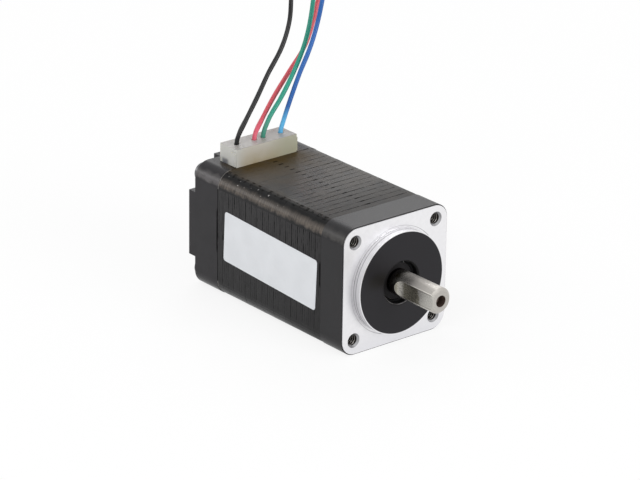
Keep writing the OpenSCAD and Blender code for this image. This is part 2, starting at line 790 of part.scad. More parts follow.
// Points of one coil: a straight start, an inward spiral, a tighter bend and a straight end
function coil_points(i) =
    let (
        z = layer_z(i),
        turns = spiral_turns(i),
        steps = ceil(turns * coil_steps),
        end_a = 180 - 360 * turns,
        end_r = coil_r - coil_pitch * turns - coil_end_r,
        bend_x = coil_x + end_r * cos(end_a),
        bend_y = coil_y + end_r * sin(end_a),
        bend_steps = 5,
        last_a = end_a - coil_end_angle,
        spiral = [for (k = [0 : steps]) let (p = spiral_point(turns * k / steps)) [p[0], p[1], z]],
        bend = [
            for (k = [1 : bend_steps])
                let (a = end_a - coil_end_angle * k / bend_steps)
                [bend_x + coil_end_r * cos(a), bend_y + coil_end_r * sin(a), z]
        ]
    )
    concat([coil_start(i)], spiral, bend, [bend[bend_steps - 1] + lead_d * end_way(i)]);

function end_way(i) =
    let (a = 180 - 360 * spiral_turns(i) - coil_end_angle) [sin(a), -cos(a), 0];

// Least gap between stretches of one coil that lie half a turn or more apart along it
function least_gap(p) =
    min([
        for (i = [0 : len(p) - 1], j = [i + coil_steps / 2 : 1 : len(p) - 1]) norm(p[i] - p[j])
    ]) - lead_d;

module lead(i) {
    color(lead_colours[i])
        tube(full_route(i), lead_r, lead_sides, [0, 0, 1], [0, 1, 0], [1, 0, 0]);
}

module coil(i) {
    p = coil_points(i);
    echo(least_gap_of_coil_to_itself_mm = least_gap(p), turns = spiral_turns(i));
    color(lead_colours[i]) tube(p, lead_r, coil_sides, [0, 1, 0], end_way(i), [0, 0, 1]);
}

module lead_black() lead(0);

module lead_red() lead(1);

module lead_green() lead(2);

module lead_blue() lead(3);

module coil_black() coil(0);

module coil_red() coil(1);

module coil_green() coil(2);

module coil_blue() coil(3);

// Band round all turns of the four coils, on the side next to the motor
module coil_tie() {
    most_turns = max([for (i = [0 : 3]) spiral_turns(i)]);
    r0 = coil_r - coil_pitch * most_turns - lead_r - tie_gap;
    r1 = coil_r + lead_r + tie_gap;
    h = 3 * coil_pitch + lead_d + 2 * tie_under;
    color("#d8d8d4") translate([coil_x - tie_w / 2, coil_y - (r0 + r1) / 2, floor_z + tie_t + h / 2])
        rotate([90, 0, 90]) linear_extrude(height = tie_w) difference() {
            rounded_bar(r1 - r0 + 2 * tie_t, h + 2 * tie_t, tie_corner_r);
            rounded_bar(r1 - r0, h, tie_corner_r - tie_t);
        }
}

module lead_tips() {
    color("#c8c8c4") for (i = [0 : 3]) {
        p = coil_points(i);
        a = 180 - 360 * spiral_turns(i) - coil_end_angle - 90;
        translate(p[len(p) - 1]) rotate([0, 90, a]) cylinder(h = tip_l, d = tip_d);
    }
}

front_cap();
stator_core();
rear_cap();
front_insulator();
rear_insulator();
phase_a_windings();
phase_b_windings();
housing_screws();
front_bearing_outer_ring();
front_bearing_seals();
rear_bearing_outer_ring();
rear_bearing_seals();
wave_washer();
circuit_board();
header_base();
header_pins();
plug_housing();
crimp_terminals();
label();
shaft();
front_rotor_cup();
rear_rotor_cup();
rotor_magnet();
front_spacer();
rear_spacer();
front_bearing_inner_ring();
rear_bearing_inner_ring();
front_bearing_balls();
front_bearing_cage();
rear_bearing_balls();
rear_bearing_cage();
lead_black();
lead_red();
lead_green();
lead_blue();
coil_black();
coil_red();
coil_green();
coil_blue();
coil_tie();
lead_tips();
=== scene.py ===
"""Dresses a square-framed hybrid stepper motor with finishes, threads, windings and soft leads."""

import logging
import math
from dataclasses import dataclass
from enum import Enum

import bmesh
import bpy
from mathutils import Matrix, Vector


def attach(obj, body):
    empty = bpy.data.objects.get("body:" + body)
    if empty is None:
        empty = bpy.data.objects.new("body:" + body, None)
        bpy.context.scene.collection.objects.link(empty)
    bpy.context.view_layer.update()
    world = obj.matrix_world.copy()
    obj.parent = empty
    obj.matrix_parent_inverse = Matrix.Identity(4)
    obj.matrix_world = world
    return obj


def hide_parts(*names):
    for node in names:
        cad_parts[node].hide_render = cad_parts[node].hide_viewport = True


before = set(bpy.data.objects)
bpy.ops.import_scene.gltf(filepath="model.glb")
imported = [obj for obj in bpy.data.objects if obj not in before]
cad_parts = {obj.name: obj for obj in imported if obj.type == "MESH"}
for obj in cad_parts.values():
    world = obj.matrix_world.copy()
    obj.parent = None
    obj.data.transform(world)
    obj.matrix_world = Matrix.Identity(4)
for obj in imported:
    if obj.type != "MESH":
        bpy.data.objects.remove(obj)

logging.basicConfig(level=logging.INFO, format="%(name)s: %(message)s")
log = logging.getLogger("motor")

Span = tuple[float, float]
Triple = tuple[float, float, float]
Colour = Triple
Points = list[Vector]

MM = 0.001
PER_MM = 1000.0
HOUSING = "housing"
CORD_MAP = "cord"
MAP_PER_METRE = 10.0
WIRE_SIDES = 6
WHITE = (1.0, 1.0, 1.0, 1.0)
ORIGIN = (0.0, 0.0, 0.0)
EVEN = (1.0, 1.0, 1.0)
NOISE_RANGE = (0.3, 0.7)
EDGE_CENTRE = 7.45
ON_SIDE = 9.5
ON_TOP = 9.0
BASE_Z = -10.0
PACKS = 18
PACK_PITCH = 24.5 / PACKS
CORE_FRONT = -5.0
HOLLOW_AND_SHADE = {"Base Color": (0.002, 0.002, 0.002, 1.0), "Roughness": 1.0, "Specular IOR Level": 0.0}


class Axis(Enum):
    """Components of a position."""

    X = 0
    Y = 1
    Z = 2


class End(Enum):
    """Ends of the motor, as the nodes are named."""

    FRONT = "front"
    REAR = "rear"


# Node trees


class Field:
    """A number that varies over a surface or from point to point, with the usual operators."""

    def __init__(self, nodes: "Nodes", socket: bpy.types.NodeSocket) -> None:
        """Wraps one output socket of a node tree."""
        self.nodes = nodes
        self.socket = socket

    def math(self, operation: str, *others: "Field | float", swap: bool = False) -> "Field":
        """Adds one Math node, with this field as its last value where swap is True."""
        values = [*others, self] if swap else [self, *others]
        return self.nodes.out("ShaderNodeMath", {"operation": operation}, dict(enumerate(values)))

    def __add__(self, other: "Field | float") -> "Field":
        """Sum."""
        return self.math("ADD", other)

    __radd__ = __add__

    def __sub__(self, other: "Field | float") -> "Field":
        """Difference."""
        return self.math("SUBTRACT", other)

    def __rsub__(self, other: float) -> "Field":
        """Difference, with the field last."""
        return self.math("SUBTRACT", other, swap=True)

    def __mul__(self, other: "Field | float") -> "Field":
        """Product."""
        return self.math("MULTIPLY", other)

    __rmul__ = __mul__

    def __truediv__(self, other: "Field | float") -> "Field":
        """Quotient."""
        return self.math("DIVIDE", other)

    def __rtruediv__(self, other: float) -> "Field":
        """Quotient, with the field last."""
        return self.math("DIVIDE", other, swap=True)

    def __mod__(self, other: float) -> "Field":
        """Remainder, which is never negative."""
        return self.math("FLOORED_MODULO", other)

    def __abs__(self) -> "Field":
        """Size without its sign."""
        return self.math("ABSOLUTE")

    def floor(self) -> "Field":
        """Whole number below."""
        return self.math("FLOOR")

    def root(self) -> "Field":
        """Square root."""
        return self.math("SQRT")

    def sine(self) -> "Field":
        """Sine of an angle in radians."""
        return self.math("SINE")

    def at_least(self, other: "Field | float") -> "Field":
        """The greater of two numbers."""
        return self.math("MAXIMUM", other)

    def at_most(self, other: "Field | float") -> "Field":
        """The lesser of two numbers."""
        return self.math("MINIMUM", other)

    def spread(self, low: float, high: float, to_low: float, to_high: float) -> "Field":
        """Maps one range of values to another and holds the ends."""
        values = dict(enumerate((self, low, high, to_low, to_high)))
        return self.nodes.out("ShaderNodeMapRange", {"clamp": True}, values)

    def swing(self, to_low: float, to_high: float) -> "Field":
        """Maps the range that a noise mostly keeps to, to another."""
        return self.spread(*NOISE_RANGE, to_low, to_high)

    def above(self, level: float, soft: float = 0.0) -> "Field":
        """1 above a level and 0 below it.

        Args:
            level: The level.
            soft: Half width of the ramp between them.

        Returns:
            The mask.
        """
        if soft <= 0.0:
            return self.math("GREATER_THAN", level)
        return self.spread(level - soft, level + soft, 0.0, 1.0)

    def below(self, level: float, soft: float = 0.0) -> "Field":
        """1 below a level and 0 above it, with a ramp as in above()."""
        return 1.0 - self.above(level, soft)

    def around(self, middle: float, half: float, soft: float) -> "Field":
        """1 within half a width of a value and 0 beside it, with a ramp as in above()."""
        return abs(self - middle).below(half, soft)

    def between(self, rise: Span, fall: Span) -> "Field":
        """Goes from 0 to 1 over the first span and back to 0 over the second."""
        return self.spread(*rise, 0.0, 1.0) * self.spread(*fall, 1.0, 0.0)


Value = Field | bpy.types.NodeSocket | float | Triple


class Nodes:
    """A node tree that one method fills."""

    def __init__(self, tree: bpy.types.NodeTree) -> None:
        """Starts with a tree, which is emptied."""
        self.tree = tree
        self.tree.nodes.clear()

    def node(
        self,
        kind: str,
        settings: dict[str, object] | None = None,
        values: dict[str | int, Value] | None = None,
    ) -> bpy.types.Node:
        """Adds a node.

        Args:
            kind: The node's type.
            settings: Its properties, which are set first.
            values: Numbers, colours, fields or sockets by input name or place.

        Returns:
            The node.
        """
        node = self.tree.nodes.new(kind)
        for key, value in (settings or {}).items():
            setattr(node, key, value)
        for key, value in (values or {}).items():
            source = value.socket if isinstance(value, Field) else value
            if isinstance(source, bpy.types.NodeSocket):
                self.tree.links.new(source, node.inputs[key])
            else:
                node.inputs[key].default_value = source
        return node

    def out(
        self,
        kind: str,
        settings: dict[str, object] | None = None,
        values: dict[str | int, Value] | None = None,
    ) -> Field:
        """Adds a node and wraps its first output."""
        return Field(self, self.node(kind, settings, values).outputs[0])

    def join(self, x: Value = 0.0, y: Value = 0.0, z: Value = 0.0) -> bpy.types.NodeSocket:
        """Makes a vector of three numbers."""
        return self.node("ShaderNodeCombineXYZ", values={0: x, 1: y, 2: z}).outputs[0]


def opaque(colour: Value) -> Value:
    """Adds an opaque alpha to a plain colour, and leaves a socket alone."""
    return (*colour, 1.0) if isinstance(colour, tuple) else colour


@dataclass(frozen=True)
class Grain:
    """Size and character of a noise, and how it is squeezed along each axis."""

    scale: float
    detail: float
    roughness: float = 0.5
    squeeze: Triple = EVEN


class Shader(Nodes):
    """Node tree of one material."""

    def __init__(self, name: str) -> None:
        """Starts an empty material.

        Args:
            name: The material's name.
        """
        self.material = bpy.data.materials.new(name)
        self.material.use_nodes = True
        super().__init__(self.material.node_tree)

    def place(self) -> bpy.types.NodeSocket:
        """Position on the object, in millimetres."""
        values = {0: self.node("ShaderNodeTexCoord").outputs["Object"], "Scale": PER_MM}
        return self.node("ShaderNodeVectorMath", {"operation": "SCALE"}, values).outputs[0]

    def parts(self, vector: bpy.types.NodeSocket) -> tuple[Field, Field, Field]:
        """Splits a vector into its three numbers."""
        node = self.node("ShaderNodeSeparateXYZ", values={0: vector})
        return tuple(Field(self, node.outputs[axis.value]) for axis in Axis)

    def distance(self, first: Field, *others: Field) -> Field:
        """Length of a way from its offsets along the axes.

        Args:
            first: One of the offsets.
            others: The other offsets.

        Returns:
            The length.
        """
        total = first * first
        for offset in others:
            total = total + offset * offset
        return total.root()

    def noise(self, vector: bpy.types.NodeSocket, grain: Grain) -> Field:
        """Smooth random pattern from 0 to 1, about 0.5.

        Args:
            vector: Where the pattern is read.
            grain: Its size and character.

        Returns:
            The pattern.
        """
        if grain.squeeze != EVEN:
            values = {0: vector, 1: grain.squeeze}
            squeezed = self.node("ShaderNodeVectorMath", {"operation": "MULTIPLY"}, values)
            vector = squeezed.outputs[0]
        values = {
            "Vector": vector, "Scale": grain.scale, "Detail": grain.detail,
            "Roughness": grain.roughness,
        }
        return self.out("ShaderNodeTexNoise", {"noise_dimensions": "3D"}, values)

    def speckle(self, vector: bpy.types.NodeSocket) -> Field:
        """Random number that is the same all over each unit cell."""
        return self.out("ShaderNodeTexWhiteNoise", {"noise_dimensions": "3D"}, {"Vector": vector})

    def mix(self, factor: Field, first: Value, second: Value) -> bpy.types.NodeSocket:
        """Blends two colours."""
        values = {0: factor, 6: opaque(first), 7: opaque(second)}
        return self.node("ShaderNodeMix", {"data_type": "RGBA"}, values).outputs[2]

    def blend(self, factor: Field, first: Field, second: Field | float) -> Field:
        """Blends two numbers."""
        return self.out("ShaderNodeMix", {"data_type": "FLOAT"}, {0: factor, 2: first, 3: second})

    def bump(self, height: Field, depth_mm: float) -> bpy.types.NodeSocket:
        """Turns a height from 0 to 1 into a bent normal."""
        values = {"Strength": 1.0, "Distance": depth_mm * MM, "Height": height}
        return self.node("ShaderNodeBump", values=values).outputs[0]

    def finish(
        self,
        colour: bpy.types.NodeSocket,
        roughness: Field,
        metallic: Field | float,
        normal: bpy.types.NodeSocket,
        hollow_and_shade: Field | None = None,
        **constants: float | Triple,
    ) -> bpy.types.Material:
        """Ends the tree in one Principled shader, and a dull one at open joints and at painted
        shade.

        Args:
            colour: Base colour.
            roughness: Roughness.
            metallic: Metallic.
            normal: Bent normal.
            hollow_and_shade: Share of the surface that gives hardly any light back: open joints,
                and painted shade.
            constants: Other inputs, by name with underscores for spaces.

        Returns:
            The material.
        """
        values = {
            "Base Color": colour, "Roughness": roughness, "Metallic": metallic, "Normal": normal,
            **{key.replace("_", " "): value for key, value in constants.items()},
        }
        node = self.node("ShaderNodeBsdfPrincipled", values=values)
        if hollow_and_shade is not None:
            dark = self.node("ShaderNodeBsdfPrincipled", values=HOLLOW_AND_SHADE)
            shaders = {0: hollow_and_shade, 1: node.outputs[0], 2: dark.outputs[0]}
            node = self.node("ShaderNodeMixShader", values=shaders)
        self.node("ShaderNodeOutputMaterial", values={"Surface": node.outputs[0]})
        return self.material


# Finishes


def scaled(colour: Colour, factor: float) -> Colour:
    """Makes a colour lighter or darker."""
    return tuple(factor * part for part in colour)


def round_share(y: Field, z: Field) -> Field:
    """Place on a rounded long edge: 0 where it meets the side, 1 where it meets the top or base."""
    over, out = abs(z) - EDGE_CENTRE, abs(y) - EDGE_CENTRE
    return over / (over + out)


@dataclass(frozen=True)
class EdgeHighlight:
    """Painted highlight: a paler band on the side half of the two upper long edges, with ragged
    borders.
    """

    rise: Span = (0.1, 0.24)
    fall: Span = (0.34, 0.54)
    ragged: float = 0.35
    least: float = 0.55
    band_noise: Grain = Grain(0.8, 4.0, 0.7)

    def mask(self, shader: Shader, place: bpy.types.NodeSocket) -> Field:
        """Share of the painted highlight.

        Args:
            shader: The material's shader.
            place: Position in millimetres.

        Returns:
            The share, 0 away from those edges.
        """
        _, y, z = shader.parts(place)
        band_noise = shader.noise(place, self.band_noise)
        corner = abs(y).above(EDGE_CENTRE) * z.above(EDGE_CENTRE)
        band = (round_share(y, z) + (band_noise - 0.5) * self.ragged).between(self.rise, self.fall)
        return band * corner * band_noise.spread(0.3, 0.6, self.least, 1.0)


@dataclass(frozen=True)
class Slit:
    """Upright open slit in the side face that the label is on."""

    x: float
    z: float
    half_width: float
    half_height: float
    soft: float
    soft_end: float

    def mask(self, x: Field, y: Field, z: Field) -> Field:
        """1 on the slit and 0 beside it, from a place in millimetres."""
        across = x.around(self.x, self.half_width, self.soft)
        return across * z.around(self.z, self.half_height, self.soft_end) * y.below(-ON_SIDE)


@dataclass(frozen=True)
class CoatedCasting:
    """Black coating over a casting, mottled and grainy, with a painted highlight at the upper long
    edges.
    """

    coat: Colour = (0.0155, 0.0147, 0.0162)
    edge_highlight: Colour = (0.045, 0.042, 0.04)
    mottling: float = 1.7
    sheen: Span = (0.22, 0.32)
    shine: float = 0.155
    depth: float = 0.006
    mottle: Grain = Grain(0.55, 3.0)
    grain: Grain = Grain(9.0, 4.0, 0.6)
    pits: Grain = Grain(26.0, 2.0, 0.6)

    def coating(self, shader: Shader, mottle: Field, highlight_band: Field) -> bpy.types.NodeSocket:
        """Colour of the coating, from the pattern of its paler patches and its share of painted
        highlight.
        """
        colour = shader.mix(mottle, self.coat, scaled(self.coat, self.mottling))
        # painted highlight: a paler band on the upper long edges
        return shader.mix(highlight_band, colour, self.edge_highlight)

    def texture(self, shader: Shader, place: bpy.types.NodeSocket) -> tuple[Field, Field]:
        """Grain of the coating, and its height with fine pits in it."""
        grain = shader.noise(place, self.grain)
        return grain, grain * 0.7 + shader.noise(place, self.pits) * 0.3


@dataclass(frozen=True)
class RearCapCoat(CoatedCasting):
    """Coating of the rear cap, with a painted reflection of the plug beside it and an open slit
    towards the core.
    """

    highlight_band: Colour = (0.1, 0.094, 0.096)
    stain_and_reflection: Colour = (0.034, 0.018, 0.0004)
    plug_reflection_x: Span = (-33.0, -31.5)
    plug_reflection_reach: Span = (6.2, 7.4)
    plug_y: float = -0.5
    top_z: float = 9.8
    slit: Slit = Slit(-29.62, 0.7, 0.1, 3.4, 0.04, 0.4)
    slit_depth: float = 0.85

    def make(self, name: str) -> bpy.types.Material:
        """Builds the material.

        Args:
            name: The material's name.

        Returns:
            The material.
        """
        shader = Shader(name)
        place = shader.place()
        x, y, z = shader.parts(place)
        mottle = shader.noise(place, self.mottle)
        grain, height = self.texture(shader, place)
        highlight_band = EdgeHighlight().mask(shader, place)
        # painted highlight: a still paler band on the rear cap's upper long edges
        colour = shader.mix(highlight_band, self.coating(shader, mottle, highlight_band), self.highlight_band)
        # painted reflection of the plug: a brown patch on the top beside it
        beside = abs(y - self.plug_y).spread(*self.plug_reflection_reach, 1.0, 0.0)
        plug_reflection = x.spread(*self.plug_reflection_x, 0.0, 1.0) * beside * z.above(self.top_z)
        colour = shader.mix(plug_reflection * mottle.spread(0.3, 0.6, 0.3, 1.0), colour, self.stain_and_reflection)
        return shader.finish(
            colour, grain.swing(*self.sheen), 0.0, shader.bump(height, self.depth),
            self.slit.mask(x, y, z) * self.slit_depth, Specular_IOR_Level=self.shine,
        )


@dataclass(frozen=True)
class FrontCapCoat(CoatedCasting):
    """Coating of the front cap, with the mounting face and the boss's side turned bare."""

    coat: Colour = (0.0065, 0.006, 0.007)
    sheen: Span = (0.3, 0.44)
    disc_sheen: Span = (0.3, 0.46)
    bare_sheen: Span = (0.33, 0.42)
    mouth_roughness: float = 0.6
    shine: float = 0.26
    depth: float = 0.01
    metal: Colour = (0.84, 0.835, 0.85)
    tint: float = 0.94
    low_shade: Colour = (0.7, 0.7, 0.74)
    turned_side: Colour = (0.68, 0.675, 0.69)
    countersink_shade: Colour = (0.34, 0.34, 0.35)
    tool_marks_and_foot_shadow: Colour = (0.2, 0.2, 0.21)
    disc: Colour = (0.006, 0.0052, 0.0075)
    shaft_shadow: Colour = (0.003, 0.0018, 0.0012)
    mouth: Colour = (0.002, 0.002, 0.002)
    lip_highlight: Colour = (0.16, 0.15, 0.155)
    hole: Colour = (0.035, 0.03, 0.029)
    turning: Grain = Grain(7.0, 5.0, 0.75)
    clouds: Grain = Grain(1.2, 4.0, 0.55)
    hole_place: float = 7.7
    hole_radius: float = 0.84
    hole_start: float = -0.3
    cone_radius: float = 1.13
    bare_radius: float = 1.3
    bare_x: float = -0.135
    low_z: Span = (-9.5, -6.5)
    boss_foot: float = 0.03
    boss_top: float = 1.44
    disc_radius: float = 7.86
    mouth_radius: float = 3.5
    lip_radius: float = 3.34
    foot_shadow_radius: float = 8.35
    foot_step: Span = (0.06, 0.07)
    side_step: Span = (0.62, 0.05)
    shaft_shadow_y: float = -4.6
    shaft_shadow_z: float = 1.3
    shaft_shadow_squash: float = 2.5
    shaft_shadow_reach: Span = (1.0, 2.6)

    def make(self, name: str) -> bpy.types.Material:
        """Builds the material.

        Args:
            name: The material's name.

        Returns:
            The material.
        """
        shader = Shader(name)
        place = shader.place()
        x, y, z = shader.parts(place)
        radius = shader.distance(y, z)
        from_hole = shader.distance(abs(y) - self.hole_place, abs(z) - self.hole_place)
        clouds = shader.noise(place, self.clouds)
        turned = shader.noise(shader.join(radius, 0.0, 0.0), self.turning)
        grain, height = self.texture(shader, place)
        mottle = shader.noise(place, self.mottle)
        # painted highlight: the paler band on the upper long edges
        coat = self.coating(shader, mottle, EdgeHighlight().mask(shader, place))
        disc = x.above(self.boss_top, 0.02) * radius.below(self.disc_radius, 0.03)
        inside = from_hole.below(self.hole_radius, 0.02) * x.below(self.hole_start, 0.02)
        mouth = radius.below(self.mouth_radius)
        side = x.above(self.boss_foot) * (1.0 - x.above(self.boss_top))
        face = x.above(self.bare_x, 0.01).at_least(from_hole.below(self.bare_radius))
        bare = face * (1.0 - disc) * (1.0 - inside) * (1.0 - mouth)

        metal = shader.mix(clouds.swing(0.0, 1.0), self.metal, scaled(self.metal, self.tint))
        # painted shade: the mounting face is darker and bluer towards the bottom
        metal = shader.mix(z.spread(*self.low_z, 0.5, 0.0), metal, self.low_shade)
        metal = shader.mix(side, metal, self.turned_side)
        # painted shade: the countersinks are darker than the face round them
        countersink_shade = from_hole.below(self.cone_radius, 0.03) * x.below(-0.02)
        metal = shader.mix(countersink_shade, metal, self.countersink_shade)
        # painted shadow: a dark ring at the foot of the boss; the two lines on the boss's side are
        # tool marks
        foot = radius.around(self.foot_shadow_radius, 0.04, 0.03) * x.below(0.05)
        steps = x.around(*self.foot_step, 0.03) + x.around(*self.side_step, 0.03)
        metal = shader.mix((foot * 0.55 + steps * side * 0.9).at_most(1.0), metal, self.tool_marks_and_foot_shadow)

        # painted shadow of the shaft: a darker patch on the black disc beside the opening
        from_shaft_shadow = y - self.shaft_shadow_y, z - self.shaft_shadow_z
        shaft_shadow = (from_shaft_shadow[0] * from_shaft_shadow[0] + from_shaft_shadow[1] * from_shaft_shadow[1] * self.shaft_shadow_squash).root()
        # painted highlight: a pale line on the lower part of the opening's rim
        lip_highlight = radius.around(self.lip_radius, 0.05, 0.03) * x.above(1.3)
        lip_highlight = lip_highlight * z.below(-1.2, 0.4) * clouds.above(0.42, 0.1)
        dark = shader.mix(disc, coat, self.disc)
        dark = shader.mix(shaft_shadow.spread(*self.shaft_shadow_reach, 0.8, 0.0) * disc, dark, self.shaft_shadow)
        # painted shade: the opening is painted darker than the coat
        dark = shader.mix(mouth, dark, self.mouth)
        dark = shader.mix(lip_highlight, dark, self.lip_highlight)
        # painted shade: the walls of the mounting holes are near black
        dark = shader.mix(inside, dark, self.hole)

        rough = shader.blend(disc, grain.swing(*self.sheen), turned.swing(*self.disc_sheen))
        rough = shader.blend(mouth, rough, self.mouth_roughness)
        rough = shader.blend(bare, rough, clouds.swing(*self.bare_sheen) + side * 0.12)
        ridges = shader.blend(disc, height, turned)
        ridges = shader.blend(bare, ridges, grain * 0.15 + turned * 0.1)
        return shader.finish(
            shader.mix(bare, dark, metal), rough, (bare + inside * 0.6).at_most(1.0),
            shader.bump(ridges, self.depth), Specular_IOR_Level=self.shine,
        )


class CorePlace:
    """Where a point of the core's surface lies: along its packs, on a face or on a rounded edge."""

    def __init__(self, shader: Shader, core: "Laminations") -> None:
        """Works out the places.

        Args:
            shader: The material's shader.
            core: The finish whose sizes are used.
        """
        self.place = shader.place()
        self.x, self.y, self.z = shader.parts(self.place)
        self.along = (self.x - core.first) / core.pitch
        self.pack = (self.along + 0.5).floor()
        self.from_joint = abs(self.along - self.pack)
        self.share = round_share(self.y, self.z)
        self.corner = abs(self.y).above(EDGE_CENTRE) * abs(self.z).above(EDGE_CENTRE)
        self.upper = self.corner * self.z.above(0.0)
        self.flank = (1.0 - self.corner) * abs(self.y).above(ON_SIDE)
        self.top = self.z.above(ON_TOP)
        self.crown = 1.0 - self.corner * self.share.below(*core.crown)
        self.wet = (self.x + self.y).spread(*core.wet_reach, 1.0, 0.0) * self.top


@dataclass(frozen=True)
class Laminations:
    """Black stacked plates in packs, each of its own tone, with joints that open and close."""

    pitch: float = PACK_PITCH
    plates: int = 3
    first: float = CORE_FRONT
    plate: Colour = (0.006, 0.0058, 0.0062)
    side: Colour = (0.0175, 0.0165, 0.0175)
    film: Colour = (0.026, 0.0175, 0.009)
    edge_highlight: Colour = (0.12, 0.1, 0.084)
    rim: Colour = (0.2, 0.19, 0.18)
    stain_and_reflection: Colour = (0.038, 0.021, 0.0003)
    bare: Colour = (0.62, 0.6, 0.58)
    bore: Colour = (0.3, 0.3, 0.31)
    contrast: float = 2.0
    sheen: Span = (0.24, 0.37)
    dull_roughness: float = 0.6
    shine: float = 0.2
    depth: float = 0.06
    joint: Span = (0.06, 0.045)
    gape: Span = (0.12, 0.05)
    gape_reach: Span = (0.42, 0.06)
    fine_joint: Span = (0.16, 0.08)
    chip: Span = (0.1, 0.05)
    crown: Span = (0.74, 0.08)
    shade_rise: Span = (0.42, 0.52)
    shade_fall: Span = (0.68, 0.8)
    dash: Grain = Grain(1.0, 3.0, 0.65)
    grain: Grain = Grain(4.0, 4.0, 0.65, (5.0, 1.0, 1.0))
    cloud: Grain = Grain(0.35, 4.0, 0.6)
    streak: Grain = Grain(1.0, 2.0, 0.6, (4.5, 0.3, 0.3))
    flake: Grain = Grain(1.0, 3.0, 0.7, (1.3, 2.0, 2.0))
    plug_reflection_cloud: Grain = Grain(0.5, 3.0)
    wet_reach: Span = (-23.8, -20.8)
    oily_reach: Span = (-26.0, -8.0)
    dull_reach: Span = (-16.0, -7.0)
    low_z: Span = (-8.0, 4.0)
    side_light_z: Span = (-7.0, 5.0)
    rim_x: float = -29.36
    bore_radius: float = 7.4
    plug_front: float = -29.5
    plug_y: float = -0.5
    plug_reach: Span = (5.1, 8.1)
    slit: Slit = Slit(-5.25, 1.6, 0.13, 1.9, 0.05, 0.3)

    def make(self, name: str) -> bpy.types.Material:
        """Builds the material.

        Args:
            name: The material's name.

        Returns:
            The material.
        """
        shader = Shader(name)
        at = CorePlace(shader, self)
        tone = shader.speckle(shader.join(at.along.floor(), 0.0, 0.0))
        grain = shader.noise(at.place, self.grain)
        flake = shader.noise(at.place, self.flake)
        painted_plug_light = self._plug_reflection_share(shader, at)
        dashes = self._dashes(shader, at.pack * 3.7, at, 0.6)
        low = at.z.spread(*self.low_z, 0.35, 0.0)
        hidden = at.wet * 0.9 + at.corner * 0.9 + at.flank * 0.2 + at.flank * low
        clear = 1.0 - hidden.at_most(1.0)
        open_joint = at.from_joint.below(*self.joint) * dashes.above(0.44, 0.12) * clear
        middle = abs(at.y).at_most(abs(at.z)).below(*self.gape_reach)
        gape = at.from_joint.below(*self.gape) * middle * dashes.spread(0.3, 0.5, 0.5, 0.9)
        fine = self._fine_joints(shader, at) * clear * (0.4 + at.flank * 1.1)
        slit = self.slit.mask(at.x, at.y, at.z)
        lines = (open_joint * 0.7 + fine * 0.5).at_least(gape).at_least(slit)
        # painted shade: a dark band on the upper half of the rounded edges, given through the dull
        # shader
        shaded = at.upper * at.share.between(self.shade_rise, self.shade_fall)
        chip = self._chips(at, flake)
        inner = shader.distance(at.y, at.z).below(self.bore_radius)
        colour = shader.mix(chip, self._paint(shader, at, tone, painted_plug_light), self.bare)
        colour = shader.mix(inner, colour, self.bore)
        dull = painted_plug_light.at_least(at.wet * 0.6).at_least(at.x.spread(*self.dull_reach, 0.0, 0.6))
        rough = shader.blend(dull, grain.swing(*self.sheen), self.dull_roughness)
        height = (1.0 - open_joint) * 0.6 - fine * 0.12 + grain * 0.12 + tone * 0.2
        hollow_and_shade = (lines * 0.9).at_least(self._nicks(at, flake) * 0.7).at_least(shaded * 0.35)
        return shader.finish(
            colour, rough, (chip * 0.7 + inner * 0.9).at_most(1.0),
            shader.bump(height, self.depth), hollow_and_shade, Specular_IOR_Level=self.shine,
        )

    def _dashes(self, shader: Shader, row: Field, at: CorePlace, stretch: float) -> Field:
        """Pattern that breaks a row of joints into dashes; a low stretch draws them out."""
        return shader.noise(shader.join(row, at.y * stretch, at.z * stretch), self.dash)

    def _fine_joints(self, shader: Shader, at: CorePlace) -> Field:
        """Faint joints between the single plates, broken into dashes.

        Args:
            shader: The material's shader.
            at: Places on the core.

        Returns:
            The mask.
        """
        along = at.along * self.plates
        plate = (along + 0.5).floor()
        broken = self._dashes(shader, plate * 2.3, at, 0.5)
        return abs(along - plate).below(*self.fine_joint) * broken.above(0.52, 0.08)

    def _plug_reflection_share(self, shader: Shader, at: CorePlace) -> Field:
        """Share of the painted brown reflection of the plug on top of the core, which fades away
        from the plug.

        Args:
            shader: The material's shader.
            at: Places on the core.

        Returns:
            The share.
        """
        ahead = (at.x - self.plug_front).spread(0.8, 7.0, 1.0, 0.0)
        beside = abs(at.y - self.plug_y).spread(*self.plug_reach, 1.0, 0.0)
        cloud = shader.noise(at.place, self.plug_reflection_cloud).spread(0.3, 0.6, 0.6, 1.0)
        return ahead * beside * cloud * at.top

    def _paint(
        self, shader: Shader, at: CorePlace, tone: Field, painted_plug_light: Field
    ) -> bpy.types.NodeSocket:
        """Colour of the painted plates, with oil on them, painted light on the side faces, a
        painted highlight on the upper long edges and a painted reflection of the plug.

        Args:
            shader: The material's shader.
            at: Places on the core.
            tone: Tone of each pack.
            painted_plug_light: Share of the painted reflection of the plug beside it.

        Returns:
            The colour.
        """
        cloud = shader.noise(at.place, self.cloud).spread(0.35, 0.6, 0.2, 1.0)
        oily = at.crown * at.top * at.x.spread(*self.oily_reach, 1.0, 0.35) * cloud
        streaks = shader.noise(at.place, self.streak).spread(0.36, 0.62, 0.55, 1.0)
        colour = shader.mix(tone, self.plate, scaled(self.plate, self.contrast))
        colour = shader.mix(oily, colour, self.film)
        # painted light: the side faces are paler than the top, fading darker towards the bottom
        colour = shader.mix(at.flank * at.z.spread(*self.side_light_z, 0.3, 1.0), colour, self.side)
        # painted highlight: the paler band on the upper long edges, broken into streaks
        colour = shader.mix(EdgeHighlight().mask(shader, at.place) * streaks, colour, self.edge_highlight)
        colour = shader.mix(at.x.below(self.rim_x) * at.corner, colour, self.rim)
        # painted reflection of the plug: a brown patch on the top beside it
        return shader.mix(painted_plug_light * at.crown, colour, self.stain_and_reflection)

